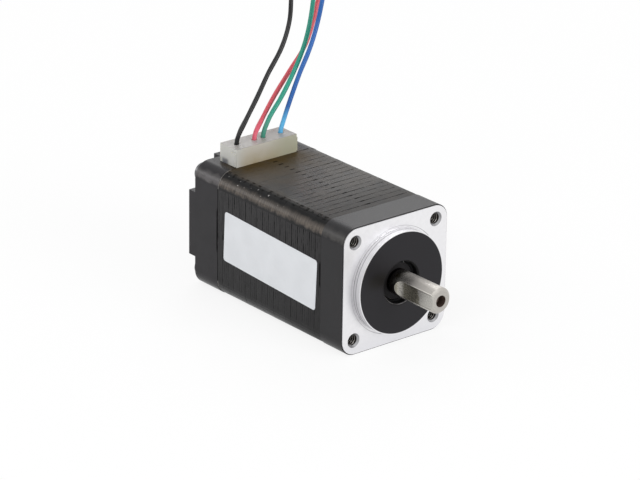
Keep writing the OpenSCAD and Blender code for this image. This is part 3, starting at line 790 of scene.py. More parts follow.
    def _chips(self, at: CorePlace, flake: Field) -> Field:
        """Bright chips at the joints along the upper rounded edges.

        Args:
            at: Places on the core.
            flake: Pattern of flakes.

        Returns:
            The mask.
        """
        edge = at.share.above(0.44, 0.05) * at.share.below(0.64, 0.05) * at.corner
        flakes = flake.above(0.62, 0.02) * edge * at.x.below(-16.0, 2.0)
        return at.from_joint.below(*self.chip) * flakes

    def _nicks(self, at: CorePlace, flake: Field) -> Field:
        """Dark nicks between single plates where a rounded edge meets the top.

        Args:
            at: Places on the core.
            flake: Pattern of flakes.

        Returns:
            The mask.
        """
        rows = (at.along * self.plates * 2.0).sine().above(0.0, 0.3)
        edge = at.share.above(0.6, 0.04) * at.share.below(0.84, 0.03) * at.upper
        return flake.above(0.5, 0.04) * rows * edge


@dataclass(frozen=True)
class WorkedMetal:
    """Bare metal with fine marks that run along one axis or round it."""

    colour: Colour
    roughness: float = 0.3
    marks: float = 14.0
    depth: float = 0.006
    turned: bool = False
    along: Axis = Axis.X
    tint: float = 0.82
    metallic: float = 1.0
    shine: float = 0.5
    stain_and_reflection: Grain = Grain(0.8, 3.0)

    def make(self, name: str) -> bpy.types.Material:
        """Builds the material.

        Args:
            name: The material's name.

        Returns:
            The material.
        """
        shader = Shader(name)
        place = shader.place()
        along, across = (1.0, 0.12) if self.turned else (0.08, 1.0)
        squeeze = tuple(along if axis is self.along else across for axis in Axis)
        lines = shader.noise(place, Grain(self.marks, 3.0, 0.6, squeeze))
        stain_and_reflection = shader.noise(place, self.stain_and_reflection)
        colour = shader.mix(lines * 0.6 + stain_and_reflection * 0.4, self.colour, scaled(self.colour, self.tint))
        rough = lines.swing(self.roughness * 0.8, self.roughness * 1.25)
        normal = shader.bump(lines, self.depth)
        return shader.finish(colour, rough, self.metallic, normal, Specular_IOR_Level=self.shine)


@dataclass(frozen=True)
class ShaftSteel:
    """Ground steel: turned marks round it, milled marks on the flat, and a dull centre hole."""

    colour: Colour = (0.56, 0.535, 0.50)
    flat: Colour = (0.5, 0.485, 0.45)
    disc_reflection: Colour = (0.25, 0.235, 0.19)
    flat_highlight: Colour = (0.86, 0.83, 0.77)
    dark_line_colour: Colour = (0.12, 0.11, 0.1)
    root_shade: Colour = (0.05, 0.04, 0.035)
    shaded_inside: Colour = (0.006, 0.005, 0.005)
    grease: Colour = (0.05, 0.04, 0.008)
    centre: Colour = (0.07, 0.035, 0.022)
    ground: Grain = Grain(16.0, 3.0, 0.65, (1.0, 0.15, 0.15))
    milled: Grain = Grain(12.0, 3.0, 0.6, (0.2, 0.2, 1.0))
    stain_and_reflection: Grain = Grain(1.1, 4.0, 0.6)
    tint: float = 0.72
    sheen: Span = (0.24, 0.36)
    flat_sheen: Span = (0.22, 0.34)
    depth: float = 0.006
    flat_x: float = 1.8
    flat_y: float = -1.4
    round_radius: float = 1.985
    root: Span = (1.5, 2.5)
    disc_reflection_end: Span = (6.9, 7.3)
    run_out: float = 3.2
    brim_x: float = 3.3
    brim_y: float = -1.5
    brim_half: float = 0.05
    flat_highlight_z: float = 1.25
    dark_line_z: float = 1.1
    shaded_inside_x: float = 0.75
    spot: Triple = (2.05, -1.15, 1.65)
    centre_radius: float = 0.9
    end_x: float = 10.17

    def make(self, name: str) -> bpy.types.Material:
        """Builds the material.

        Args:
            name: The material's name.

        Returns:
            The material.
        """
        shader = Shader(name)
        place = shader.place()
        x, y, z = shader.parts(place)
        radius = shader.distance(y, z)
        flat = y.below(self.flat_y) * radius.below(self.round_radius) * x.above(self.flat_x)
        ground, milled = shader.noise(place, self.ground), shader.noise(place, self.milled)
        lines = shader.blend(flat, ground, milled)
        stain_and_reflection = shader.noise(place, self.stain_and_reflection)
        bore = radius.below(self.centre_radius) * x.below(self.end_x)

        colour = shader.mix(lines * 0.5 + stain_and_reflection * 0.5, self.colour, scaled(self.colour, self.tint))
        # painted reflection of the dark boss face: the flat is darker from its start to about x = 7
        # mm
        past_disc_reflection = (x + (stain_and_reflection - 0.5) * 0.8 + z * 0.3).spread(*self.disc_reflection_end, 0.0, 1.0)
        colour = shader.mix(flat, colour, shader.mix(past_disc_reflection, self.disc_reflection, self.flat))
        # painted highlight on the run-out at the start of the flat
        run_out = abs(x - self.run_out).spread(0.15, 0.75, 0.7, 0.0)
        colour = shader.mix(flat * run_out, colour, self.flat_highlight)
        # painted highlight: a bright line along both long edges of the flat
        brim = y.below(self.brim_y) * x.above(self.brim_x)
        flat_highlight = abs(z).around(self.flat_highlight_z, self.brim_half, 0.03) * brim
        colour = shader.mix(flat_highlight * 0.85, colour, self.flat_highlight)
        # painted dark reflection: a broken dark line just inside each bright line
        dark_line = abs(z).around(self.dark_line_z, self.brim_half, 0.04) * brim * stain_and_reflection.above(0.4, 0.1)
        colour = shader.mix(dark_line * 0.6, colour, self.dark_line_colour)
        # painted shade at the shaft's root, where it leaves the opening
        colour = shader.mix(x.spread(*self.root, 1.0, 0.0) * 0.8, colour, self.root_shade)
        from_spot = shader.distance(x - self.spot[0], y - self.spot[1], z - self.spot[2])
        grease = from_spot.spread(0.25, 0.75, 1.0, 0.0) * stain_and_reflection.spread(0.35, 0.55, 0.5, 1.0)
        colour = shader.mix(grease * 0.9, colour, self.grease)
        # painted shade: the part of the shaft inside the opening is near black
        colour = shader.mix(x.below(self.shaded_inside_x), colour, self.shaded_inside)
        colour = shader.mix(bore * 0.9, colour, self.centre)

        rough = shader.blend(flat, lines.swing(*self.sheen), lines.swing(*self.flat_sheen))
        rough = rough + (1.0 - flat) * x.spread(4.5, 6.5, 0.0, 0.14) * x.below(10.0, 0.1)
        upper = (1.0 - flat) * y.spread(-1.2, 0.0, 0.0, 1.2) * x.spread(2.0, 3.2, 0.0, 1.0)
        dull = upper * x.spread(5.5, 8.0, 1.0, 0.0) + flat * x.spread(3.9, 6.2, 1.0, 0.0)
        metallic = 1.0 - bore * 0.6 - dull * 0.35
        return shader.finish(colour, rough, metallic, shader.bump(lines, self.depth))


@dataclass(frozen=True)
class MouldedPlastic:
    """Moulded plastic with a fine texture, which lets a little light in where it is pale."""

    colour: Colour
    shade: Colour
    roughness: float = 0.4
    glow: float = 0.0
    depth: float = 0.008
    shine: float = 0.5
    cloud: Grain = Grain(0.5, 3.0)
    fine: Grain = Grain(14.0, 3.0, 0.6)

    def make(self, name: str) -> bpy.types.Material:
        """Builds the material.

        Args:
            name: The material's name.

        Returns:
            The material.
        """
        shader = Shader(name)
        place = shader.place()
        cloud = shader.noise(place, self.cloud)
        fine = shader.noise(place, self.fine)
        colour = shader.mix(cloud.spread(0.35, 0.65, 0.0, 1.0), self.colour, self.shade)
        rough = fine.swing(self.roughness * 0.85, self.roughness * 1.2)
        extra = {"Specular_IOR_Level": self.shine}
        if self.glow > 0.0:
            extra |= translucent(self.glow)
        return shader.finish(colour, rough, 0.0, shader.bump(fine, self.depth), **extra)


def translucent(weight: float) -> dict[str, float | Triple]:
    """Inputs of a plastic that lets some light in.

    Args:
        weight: Share of the light.
    """
    return {
        "Subsurface_Weight": weight,
        "Subsurface_Radius": (0.9, 0.85, 0.6),
        "Subsurface_Scale": 0.8 * MM,
    }


@dataclass(frozen=True)
class PlugNylon:
    """Translucent nylon: pale and greyish, with a painted yellow-green reflection at the foot of
    its long sides and painted shade towards the other end, on the top and on the end face's foot.
    """

    pale: Colour = (0.50, 0.475, 0.42)
    foot_reflection: Colour = (0.36, 0.305, 0.20)
    far_shade: Colour = (0.36, 0.36, 0.265)
    end: Colour = (0.49, 0.485, 0.455)
    top_shade: Colour = (0.29, 0.275, 0.262)
    end_shade_colour: Colour = (0.12, 0.125, 0.14)
    foot_z: float = 10.0
    top_z: float = 12.85
    low_y: float = -6.35
    end_shade_x: float = -32.3
    end_shade_z: float = 10.7
    glow: float = 0.2
    sheen: Span = (0.3, 0.42)
    depth: float = 0.01
    cloud: Grain = Grain(0.45, 3.0)
    fine: Grain = Grain(14.0, 3.0, 0.6)

    def make(self, name: str) -> bpy.types.Material:
        """Builds the material.

        Args:
            name: The material's name.

        Returns:
            The material.
        """
        shader = Shader(name)
        place = shader.place()
        x, y, z = shader.parts(place)
        from_end = y - self.low_y
        cloud = shader.noise(place, self.cloud)
        fine = shader.noise(place, self.fine)
        # painted reflection: the foot of the long sides turns yellow-green
        foot = z.spread(self.foot_z, self.top_z - 0.3, 1.0, 0.0) * cloud.swing(0.75, 1.25)
        body = shader.mix(foot, self.pale, self.foot_reflection)
        # painted shade: greyer and darker towards the other end
        body = shader.mix(from_end.spread(5.5, 9.5, 0.0, 0.8), body, self.far_shade)
        body = shader.mix(from_end.spread(0.0, 2.0, 1.0, 0.0), body, self.end)
        # painted shade of a latch window at the foot of the end face
        end_shade = from_end.below(0.08) * x.around(self.end_shade_x, 0.7, 0.2) * z.below(self.end_shade_z, 0.2)
        body = shader.mix(end_shade * cloud.spread(0.3, 0.6, 0.4, 1.0), body, self.end_shade_colour)
        # painted shade: the top face is darker
        colour = shader.mix(z.above(self.top_z - 0.04, 0.02), body, self.top_shade)
        normal = shader.bump(fine, self.depth)
        return shader.finish(
            colour, fine.swing(*self.sheen), 0.0, normal, **translucent(self.glow)
        )


@dataclass(frozen=True)
class Insulation:
    """Glossy wire insulation, brighter where the pale plug lights it; reads the cord's own map."""

    colour: Colour
    painted_plug_light: Colour
    plug_light_reach: Span = (0.032, 0.056)
    tint: float = 0.8
    depth: float = 0.01
    sheen: float = 0.34
    shine: float = 0.3
    scuff: Grain = Grain(1.0, 4.0, 0.65)
    wave: Grain = Grain(1.0, 2.0)

    def make(self, name: str) -> bpy.types.Material:
        """Builds the material.

        Args:
            name: The material's name.

        Returns:
            The material.
        """
        shader = Shader(name)
        u, v, _ = shader.parts(shader.node("ShaderNodeUVMap", {"uv_map": CORD_MAP}).outputs[0])
        scuffs = shader.noise(shader.join(u * 60.0, v * 3.0, 0.0), self.scuff)
        waves = shader.noise(shader.join(u * 9.0, v, 2.0), self.wave)
        colour = shader.mix(waves.swing(0.0, 1.0), self.colour, scaled(self.colour, self.tint))
        # painted light: brighter beside the pale plug, as if lit by it
        colour = shader.mix(u.spread(*self.plug_light_reach, 1.0, 0.0), colour, self.painted_plug_light)
        rough = scuffs.swing(self.sheen * 0.75, self.sheen * 1.35)
        return shader.finish(
            colour, rough, 0.0, shader.bump(scuffs, self.depth), Specular_IOR_Level=self.shine
        )


@dataclass(frozen=True)
class LabelFilm:
    """Bare pale film with a satin face and a slightly darker cut edge."""

    colour: Colour = (0.666, 0.683, 0.709)
    edge: Colour = (0.42, 0.42, 0.46)
    tint: float = 0.95
    sheen: Span = (0.3, 0.42)
    depth: float = 0.03
    face_y: float = -10.0
    wave: Grain = Grain(0.28, 3.0, 0.55)
    fibre: Grain = Grain(11.0, 4.0, 0.6)
    coat: float = 0.12

    def make(self, name: str) -> bpy.types.Material:
        """Builds the material.

        Args:
            name: The material's name.

        Returns:
            The material.
        """
        shader = Shader(name)
        place = shader.place()
        _, y, _ = shader.parts(place)
        waves = shader.noise(place, self.wave)
        fibre = shader.noise(place, self.fibre)
        waviness = waves.spread(0.35, 0.65, 0.0, 1.0)
        colour = shader.mix(waviness, self.colour, scaled(self.colour, self.tint))
        colour = shader.mix(y.above(self.face_y, 0.005), colour, self.edge)
        height = waves * 0.85 + fibre * 0.15
        normal = shader.bump(height, self.depth)
        return shader.finish(
            colour, fibre.swing(*self.sheen), 0.0, normal, Coat_Weight=self.coat
        )


@dataclass(frozen=True)
class CircuitBoard:
    """Green solder mask over glass fibre, with copper-tinned rings round the pins."""

    mask: Colour = (0.012, 0.09, 0.03)
    tin: Colour = (0.6, 0.58, 0.52)
    tint: float = 1.6
    sheen: Span = (0.25, 0.4)
    depth: float = 0.01
    first_y: float = -4.8
    pitch: float = 1.7
    pin_x: float = -31.55
    pad_radius: float = 0.55
    weave: float = 9.0
    fine: Grain = Grain(6.0, 3.0)

    def make(self, name: str) -> bpy.types.Material:
        """Builds the material.

        Args:
            name: The material's name.

        Returns:
            The material.
        """
        shader = Shader(name)
        place = shader.place()
        x, y, _ = shader.parts(place)
        weave = (x * self.weave).sine() * (y * self.weave).sine()
        from_pin = abs((y - self.first_y + self.pitch / 2) % self.pitch - self.pitch / 2)
        pad = shader.distance(from_pin, x - self.pin_x).below(self.pad_radius, 0.01)
        fine = shader.noise(place, self.fine)
        colour = shader.mix(fine, self.mask, scaled(self.mask, self.tint))
        colour = shader.mix(pad, colour, self.tin)
        height = weave * 0.25 + pad * 0.5 + 0.25
        normal = shader.bump(height, self.depth)
        return shader.finish(colour, fine.swing(*self.sheen), pad, normal)


class Finish:
    """All finishes of the motor, each made once."""

    def __init__(self) -> None:
        """Builds the materials."""
        self.front_cap = FrontCapCoat().make("front_cap_coating")
        self.rear_cap = RearCapCoat().make("rear_cap_coating")
        self.core = Laminations().make("core_laminations")
        self.board = CircuitBoard().make("board_mask")
        self.plug = PlugNylon().make("plug_nylon")
        self.label = LabelFilm().make("label_film")
        self.shaft = ShaftSteel().make("shaft_steel")
        self.frames = MouldedPlastic((0.02, 0.02, 0.022), (0.03, 0.03, 0.033)).make("end_frame")
        self.header = MouldedPlastic((0.66, 0.62, 0.5), (0.6, 0.57, 0.47)).make("header_nylon")
        self.seal = MouldedPlastic(
            (0.006, 0.006, 0.0065), (0.01, 0.01, 0.011), roughness=0.6, shine=0.12
        ).make("seal_rubber")
        self.tie = MouldedPlastic(
            (0.6, 0.6, 0.57), (0.55, 0.55, 0.52), roughness=0.3, glow=0.1
        ).make("tie_film")
        self.copper = WorkedMetal(
            (0.72, 0.27, 0.12), roughness=0.25, marks=18.0, depth=0.004
        ).make("winding_wire")
        self.ball = WorkedMetal(
            (0.78, 0.79, 0.8), roughness=0.08, marks=6.0, depth=0.0008
        ).make("ball_steel")
        self.spring = WorkedMetal(
            (0.46, 0.46, 0.48), roughness=0.26, marks=12.0, depth=0.004
        ).make("spring_steel")
        self.pin = WorkedMetal(
            (0.7, 0.7, 0.68), roughness=0.2, marks=12.0, depth=0.003, along=Axis.Z
        ).make("pin_tin")
        self.terminal = WorkedMetal(
            (0.66, 0.58, 0.4), roughness=0.26, marks=12.0, depth=0.004, along=Axis.Z
        ).make("terminal_tin")
        self.tip = WorkedMetal(
            (0.68, 0.68, 0.66), roughness=0.24, marks=16.0, depth=0.003, along=Axis.Y
        ).make("tinned_strands")
        self.screw = WorkedMetal(
            (0.16, 0.16, 0.165), roughness=0.34, marks=10.0, depth=0.006, turned=True
        ).make("screw_steel")
        self.ring = WorkedMetal(
            (0.66, 0.67, 0.69), roughness=0.16, marks=20.0, depth=0.003, turned=True
        ).make("ring_steel")
        # painted shade: the inner rings are near black, standing for the shade inside the bearings
        self.shaded_ring = WorkedMetal(
            (0.012, 0.011, 0.012), roughness=0.5, marks=20.0, depth=0.003, turned=True,
            metallic=0.4, shine=0.2,
        ).make("dark_ring_steel")
        self.cage = WorkedMetal(
            (0.68, 0.48, 0.2), roughness=0.28, marks=14.0, depth=0.004, turned=True
        ).make("cage_brass")
        self.cup = WorkedMetal(
            (0.3, 0.3, 0.31), roughness=0.36, marks=9.0, depth=0.02, turned=True
        ).make("cup_laminations")
        self.magnet = WorkedMetal(
            (0.36, 0.35, 0.33), roughness=0.22, marks=10.0, depth=0.003, turned=True
        ).make("magnet_plating")
        self.spacer = WorkedMetal(
            (0.68, 0.53, 0.26), roughness=0.24, marks=14.0, depth=0.004, turned=True
        ).make("spacer_brass")
        # painted shade: the threads are dark metal, standing for the shade inside the mounting
        # holes
        self.thread = WorkedMetal(
            (0.3, 0.285, 0.27), roughness=0.22, marks=10.0, depth=0.004, turned=True
        ).make("thread_metal")


# Mesh helpers


def link(name: str, data: bpy.types.ID) -> bpy.types.Object:
    """Puts data into the scene as an object at the origin.

    Args:
        name: The object's name.
        data: A mesh, lamp or camera.

    Returns:
        The object.
    """
    made = bpy.data.objects.new(name, data)
    bpy.context.scene.collection.objects.link(made)
    return made


def as_mesh(name: str, made: bmesh.types.BMesh) -> bpy.types.Mesh:
    """Turns an edited mesh into a plain one and frees it.

    Args:
        name: The mesh's name.
        made: The edited mesh.

    Returns:
        The plain mesh.
    """
    mesh = bpy.data.meshes.new(name)
    made.to_mesh(mesh)
    made.free()
    return mesh


def new_piece(
    name: str, mesh: bpy.types.Mesh, material: bpy.types.Material, smooth: bool = True
) -> bpy.types.Object:
    """Links a mesh as a piece that is fixed to the housing.

    Args:
        name: The piece's name.
        mesh: Its mesh, in place.
        material: Its finish.
        smooth: True for smooth shading.

    Returns:
        The piece.
    """
    mesh.materials.clear()
    mesh.materials.append(material)
    for polygon in mesh.polygons:
        polygon.material_index = 0
        polygon.use_smooth = smooth
    piece = link(name, mesh)
    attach(piece, HOUSING)
    log.info("%s: %d faces on %s", name, len(mesh.polygons), HOUSING)
    return piece


def dress(material: bpy.types.Material, *nodes: str) -> None:
    """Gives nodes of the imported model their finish.

    Args:
        material: The finish.
        nodes: The nodes' names.
    """
    for node in nodes:
        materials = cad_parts[node].data.materials
        if len(materials) == 0:
            materials.append(material)
        for index in range(len(materials)):
            materials[index] = material
        log.info("%s: %s", node, material.name)


def sweep_tube(name: str, path: Points, radius: float, sides: int) -> bpy.types.Mesh:
    """Makes a round tube along a path, closed at both ends, with a map along and round it.

    Args:
        name: The mesh's name.
        path: Points of the centreline.
        radius: Radius of the tube.
        sides: Faces round it.

    Returns:
        The mesh.
    """
    last = len(path) - 1
    ways = [(path[min(i + 1, last)] - path[max(i - 1, 0)]).normalized() for i in range(last + 1)]
    side = ways[0].orthogonal().normalized()
    made = bmesh.new()
    map_layer = made.loops.layers.uv.new(CORD_MAP)
    rings, run = [], [0.0]
    for i, (point, way) in enumerate(zip(path, ways)):
        side = (side - way * side.dot(way)).normalized()
        other = way.cross(side)
        ring = []
        for k in range(sides):
            angle = 2.0 * math.pi * k / sides
            out = (side * math.cos(angle) + other * math.sin(angle)) * radius
            ring.append(made.verts.new(point + out))
        rings.append(ring)
        if i:
            run.append(run[-1] + (point - path[i - 1]).length)
    for i in range(last):
        for k in range(sides):
            m = (k + 1) % sides
            face = made.faces.new((rings[i][k], rings[i][m], rings[i + 1][m], rings[i + 1][k]))
            for loop, (u, v) in zip(face.loops, ((i, k), (i, k + 1), (i + 1, k + 1), (i + 1, k))):
                loop[map_layer].uv = (run[u] * MAP_PER_METRE, v / sides)
    for ring, point, outwards in ((rings[0], path[0], False), (rings[last], path[last], True)):
        centre = made.verts.new(point)
        for k in range(sides):
            pair = (ring[k], ring[(k + 1) % sides])
            made.faces.new((centre, *(pair if outwards else pair[::-1])))
    return as_mesh(name, made)


def smooth_path(points: Points, steps: int) -> Points:
    """Draws a smooth curve through every point; its first stretch is straight.

    Args:
        points: The points to pass.
        steps: Pieces of curve between neighbouring points.

    Returns:
        Points along the curve.
    """
    spans = [(after - before).length for before, after in zip(points, points[1:])]
    ways = [(after - before).normalized() for before, after in zip(points, points[1:])]
    bends = [
        (before * ahead + after * behind).normalized()
        for before, after, behind, ahead in zip(ways, ways[1:], spans, spans[1:])
    ]
    slopes = [ways[0], ways[0], *bends[1:], ways[-1]]
    path = []
    for i, span in enumerate(spans):
        for k in range(steps):
            t = k / steps
            path.append(
                points[i] * ((1 + 2 * t) * (1 - t) ** 2) + points[i + 1] * (t * t * (3 - 2 * t))
                + slopes[i] * (span * t * (1 - t) ** 2) - slopes[i + 1] * (span * t * t * (1 - t))
            )
    return [*path, points[-1].copy()]


# Geometry Nodes


class Repeat(Nodes):
    """Geometry node tree with named inputs, made for one kind of repeated piece."""

    def __init__(self, name: str, inputs: dict[str, float | int]) -> None:
        """Starts a tree.

        Args:
            name: The tree's name.
            inputs: Its inputs' names and values.
        """
        super().__init__(bpy.data.node_groups.new(name, "GeometryNodeTree"))
        self.inputs = inputs
        kinds = {int: "NodeSocketInt", float: "NodeSocketFloat"}
        self._socket("Geometry", "INPUT", "NodeSocketGeometry")
        for key, value in inputs.items():
            self._socket(key, "INPUT", kinds[type(value)])
        self._socket("Geometry", "OUTPUT", "NodeSocketGeometry")
        self.entry = self.node("NodeGroupInput")

    def _socket(self, name: str, side: str, kind: str) -> None:
        """Adds a socket to the tree's own inputs or outputs."""
        self.tree.interface.new_socket(name, in_out=side, socket_type=kind)

    def given(self, name: str) -> Field:
        """One of the tree's inputs."""
        return Field(self, self.entry.outputs[name])

    def rectangle(self, width: Value, height: Value) -> Field:
        """Outline of a rectangle."""
        size = {"Width": width, "Height": height}
        return self.out("GeometryNodeCurvePrimitiveQuadrilateral", {"mode": "RECTANGLE"}, size)

    def rounded(self, outline: Value, radius: Value, steps: int) -> Field:
        """The outline with rounded corners."""
        values = {"Curve": outline, "Radius": radius, "Count": steps}
        return self.out("GeometryNodeFilletCurve", {"mode": "POLY"}, values)

    def circle(self, radius: Value) -> Field:
        """Outline of a wire or ridge."""
        values = {"Resolution": WIRE_SIDES, "Radius": radius}
        return self.out("GeometryNodeCurvePrimitiveCircle", values=values)

    def sweep(self, curve: Value, profile: Value, capped: bool = False) -> Field:
        """Draws a profile along a curve."""
        values = {"Curve": curve, "Profile Curve": profile, "Fill Caps": capped}
        return self.out("GeometryNodeCurveToMesh", values=values)

    def row(self, count: Value, step: Value, start: Value = ORIGIN) -> Field:
        """Points in a row."""
        values = {"Count": count, "Offset": step, "Start Location": start}
        return self.out("GeometryNodeMeshLine", {"mode": "OFFSET"}, values)

    def repeated(self, points: Value, shape: Value, **values: Value) -> Field:
        """A copy of a shape on each point."""
        values |= {"Points": points, "Instance": shape}
        return self.out("GeometryNodeInstanceOnPoints", values=values)

    def moved(self, shape: Value, place: Value, turn: Triple) -> Field:
        """The shape, turned and then moved."""
        values = {0: shape, "Translation": place, "Rotation": turn}
        return self.out("GeometryNodeTransform", values=values)

    def build(self, shape: Field, material: bpy.types.Material) -> bpy.types.Mesh:
        """Ends the tree, runs it once and returns the plain mesh.

        Args:
            shape: What the tree makes.
            material: The finish of the result.

        Returns:
            A mesh with nothing instanced in it.
        """
        real = self.out("GeometryNodeRealizeInstances", values={0: shape})
        dressed = self.out("GeometryNodeSetMaterial", values={0: real, "Material": material})
        self.node("NodeGroupOutput", values={0: dressed})
        holder = link(self.tree.name, bpy.data.meshes.new(self.tree.name))
        modifier = holder.modifiers.new("repeat", "NODES")
        modifier.node_group = self.tree
        for item in self.tree.interface.items_tree:
            if item.item_type == "SOCKET" and item.in_out == "INPUT" and item.name in self.inputs:
                modifier[item.identifier] = self.inputs[item.name]
        holder.update_tag()
        graph = bpy.context.evaluated_depsgraph_get()
        mesh = bpy.data.meshes.new_from_object(holder.evaluated_get(graph))
        holder.modifiers.remove(modifier)
        bpy.data.objects.remove(holder)
        return mesh


# Sub-assemblies


@dataclass
class Frame:
    """Caps, laminated core, mounting threads and long screws."""

    hole_pitch: float = 15.4
    thread_radius: float = 0.8
    thread_start: float = -0.45
    thread_turns: int = 5
    thread_pitch: float = 0.4
    thread_steps: int = 36
    crest: float = 0.07
    pack_width: float = 1.36
    half_width: float = 9.94
    corner: float = 2.5
    corner_steps: int = 8
    skin: float = 0.035
    least_scale: float = 0.9996
    most_scale: float = 1.0006
    seed: int = 7

    def build(self, finish: Finish) -> None:
        """Dresses the frame's nodes, and makes the threads and the proud edges of the packs.

        Args:
            finish: The motor's finishes.
        """
        dress(finish.front_cap, "front_cap")
        dress(finish.rear_cap, "rear_cap")
        dress(finish.core, "stator_core")
        dress(finish.screw, "housing_screws")
        self._threads(finish)
        self._pack_edges(finish)

    def _threads(self, finish: Finish) -> None:
        """Lays a fine ridge on the wall of each mounting hole, which winds inwards as a thread.

        Args:
            finish: The motor's finishes.
        """
        tree = Repeat(
            "mounting_threads",
            {
                "Radius": self.thread_radius * MM,
                "Pitch": self.thread_pitch * MM,
                "Turns": self.thread_turns,
                "Crest": self.crest * MM,
                "Hole Pitch": self.hole_pitch * MM,
                "Start": self.thread_start * MM,
            },
        )
        radius, turns = tree.given("Radius"), tree.given("Turns")
        helix = tree.out(
            "GeometryNodeCurveSpiral",
            values={
                "Resolution": self.thread_steps,
                "Rotations": turns,
                "Start Radius": radius,
                "End Radius": radius,
                "Height": tree.given("Pitch") * turns,
            },
        )
        ridge = tree.sweep(helix, tree.circle(tree.given("Crest")), capped=True)
        side = tree.given("Hole Pitch")
        size = {"Size X": side, "Size Y": side, "Vertices X": 2, "Vertices Y": 2}
        placed = tree.repeated(tree.out("GeometryNodeMeshGrid", values=size), ridge)
        inwards = tree.moved(placed, tree.join(tree.given("Start")), (0.0, -math.pi / 2, 0.0))
        mesh = tree.build(inwards, finish.thread)
        new_piece("mounting_threads", mesh, finish.thread)

    def _pack_edges(self, finish: Finish) -> None:
        """Lays a thin band over the edge of each pack of plates, each a little further out or in.

        Args:
            finish: The motor's finishes.
        """
        tree = Repeat(
            "pack_edges",
            {
                "Count": PACKS,
                "Pitch": PACK_PITCH * MM,
                "Width": self.pack_width * MM,
                "Reach": self.skin * MM,
                "Side": 2.0 * self.half_width * MM,
                "Corner": self.corner * MM,
                "Seed": self.seed,
            },
        )
        side = tree.given("Side")
        outline = tree.rounded(tree.rectangle(side, side), tree.given("Corner"), self.corner_steps)
        band = tree.sweep(outline, tree.rectangle(tree.given("Reach"), tree.given("Width")))
        line = tree.row(tree.given("Count"), tree.join(z=tree.given("Pitch")))
        chance = tree.node(
            "FunctionNodeRandomValue",
            {"data_type": "FLOAT"},
            {2: self.least_scale, 3: self.most_scale, "Seed": tree.given("Seed")},
        ).outputs[1]
        placed = tree.repeated(line, band, Scale=tree.join(chance, chance, 1.0))
        rear = CORE_FRONT - (PACKS - 0.5) * PACK_PITCH
        turned = tree.moved(placed, (rear * MM, 0.0, 0.0), (0.0, math.pi / 2, 0.0))
        mesh = tree.build(turned, finish.core)
        new_piece("pack_edges", mesh, finish.core, smooth=False)


@dataclass
class Stator:
    """End frames and the wound wire of the eight poles."""

    poles: int = 8
    wire: float = 0.195
    rows: int = 6
    layers: int = 4
    low: float = 5.41
    inner_width: float = 1.9
    inner_length: float = 25.3
    middle: float = -17.25
    corner_steps: int = 4

    def build(self, finish: Finish) -> None:
        """Dresses the end frames and winds both phases.

        Args:
            finish: The motor's finishes.
        """
        dress(finish.frames, "front_insulator", "rear_insulator")
        for phase, letter in enumerate("ab"):
            wound = self._wind(phase, finish)
            piece = new_piece(f"phase_{letter}_wire", wound, finish.copper)
            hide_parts(f"phase_{letter}_windings")

    def _wind(self, phase: int, finish: Finish) -> bpy.types.Mesh:
        """Lays loops of wire in rows and layers round every second pole.

        Args:
            phase: 0 for the poles from the top one on, 1 for those between them.
            finish: The motor's finishes.

        Returns:
            The wire of one phase.
        """
        tree = Repeat(
            f"winding_{phase}",
            {
                "Wire": self.wire * MM,
                "Rows": self.rows,
                "Inner Width": self.inner_width * MM,
                "Inner Length": self.inner_length * MM,
                "Low": self.low * MM,
                "Poles": self.poles // 2,
            },
        )
        wire = tree.given("Wire")
        turn = tree.node("GeometryNodeJoinGeometry")
        for layer in range(self.layers):
            grow = wire * (2.0 * layer + 1.0)
            outline = tree.rectangle(
                tree.given("Inner Length") + grow, tree.given("Inner Width") + grow
            )
            rounded = tree.rounded(outline, wire * (layer + 0.9), self.corner_steps)
            loop = tree.sweep(rounded, tree.circle(wire * 0.5))
            tree.tree.links.new(loop.socket, turn.inputs[0])
        start = tree.join(x=self.middle * MM, z=tree.given("Low"))
        column = tree.row(tree.given("Rows"), tree.join(z=wire), start)
        rows = tree.repeated(column, turn.outputs[0])
        pole_angle = 2.0 * math.pi / self.poles
        place = tree.out("GeometryNodeInputIndex")
        angle = place.math("MULTIPLY_ADD", 2.0 * pole_angle, pole_angle * phase)
        around = tree.row(tree.given("Poles"), ORIGIN)
        return tree.build(tree.repeated(around, rows, Rotation=tree.join(angle)), finish.copper)


@dataclass
class Rotor:
    """Shaft, toothed cups, magnet and spacers."""

    def build(self, finish: Finish) -> None:
        """Dresses the nodes of the rotor.

        Args:
            finish: The motor's finishes.
        """
        dress(finish.shaft, "shaft")
        dress(finish.cup, "front_rotor_cup", "rear_rotor_cup")
        dress(finish.magnet, "rotor_magnet")
        dress(finish.spacer, "front_spacer", "rear_spacer")


@dataclass
class Bearings:
    """Two sealed ball bearings and the wave washer behind the rear one."""

    def build(self, finish: Finish) -> None:
        """Dresses the nodes of both bearings.

        Args:
            finish: The motor's finishes.
        """
        for end in End:
            dress(finish.ring, f"{end.value}_bearing_outer_ring")
            dress(finish.shaded_ring, f"{end.value}_bearing_inner_ring")
            dress(finish.seal, f"{end.value}_bearing_seals")
            dress(finish.ball, f"{end.value}_bearing_balls")
            dress(finish.cage, f"{end.value}_bearing_cage")
        dress(finish.spring, "wave_washer")


@dataclass
class Connector:
    """Board, header, plug and label."""

    def build(self, finish: Finish) -> None:
        """Dresses the nodes of the connector and the label.

        Args:
            finish: The motor's finishes.
        """
        dress(finish.board, "circuit_board")
        dress(finish.header, "header_base")
        dress(finish.pin, "header_pins")
        dress(finish.terminal, "crimp_terminals")
        dress(finish.plug, "plug_housing")
        dress(finish.label, "label")


@dataclass(frozen=True)
class LeadRoute:
    """One lead: its colours and the points that it passes from its crimp to the coil."""

    name: str
    colour: Colour
    painted_plug_light: Colour
    points: tuple[Triple, ...]


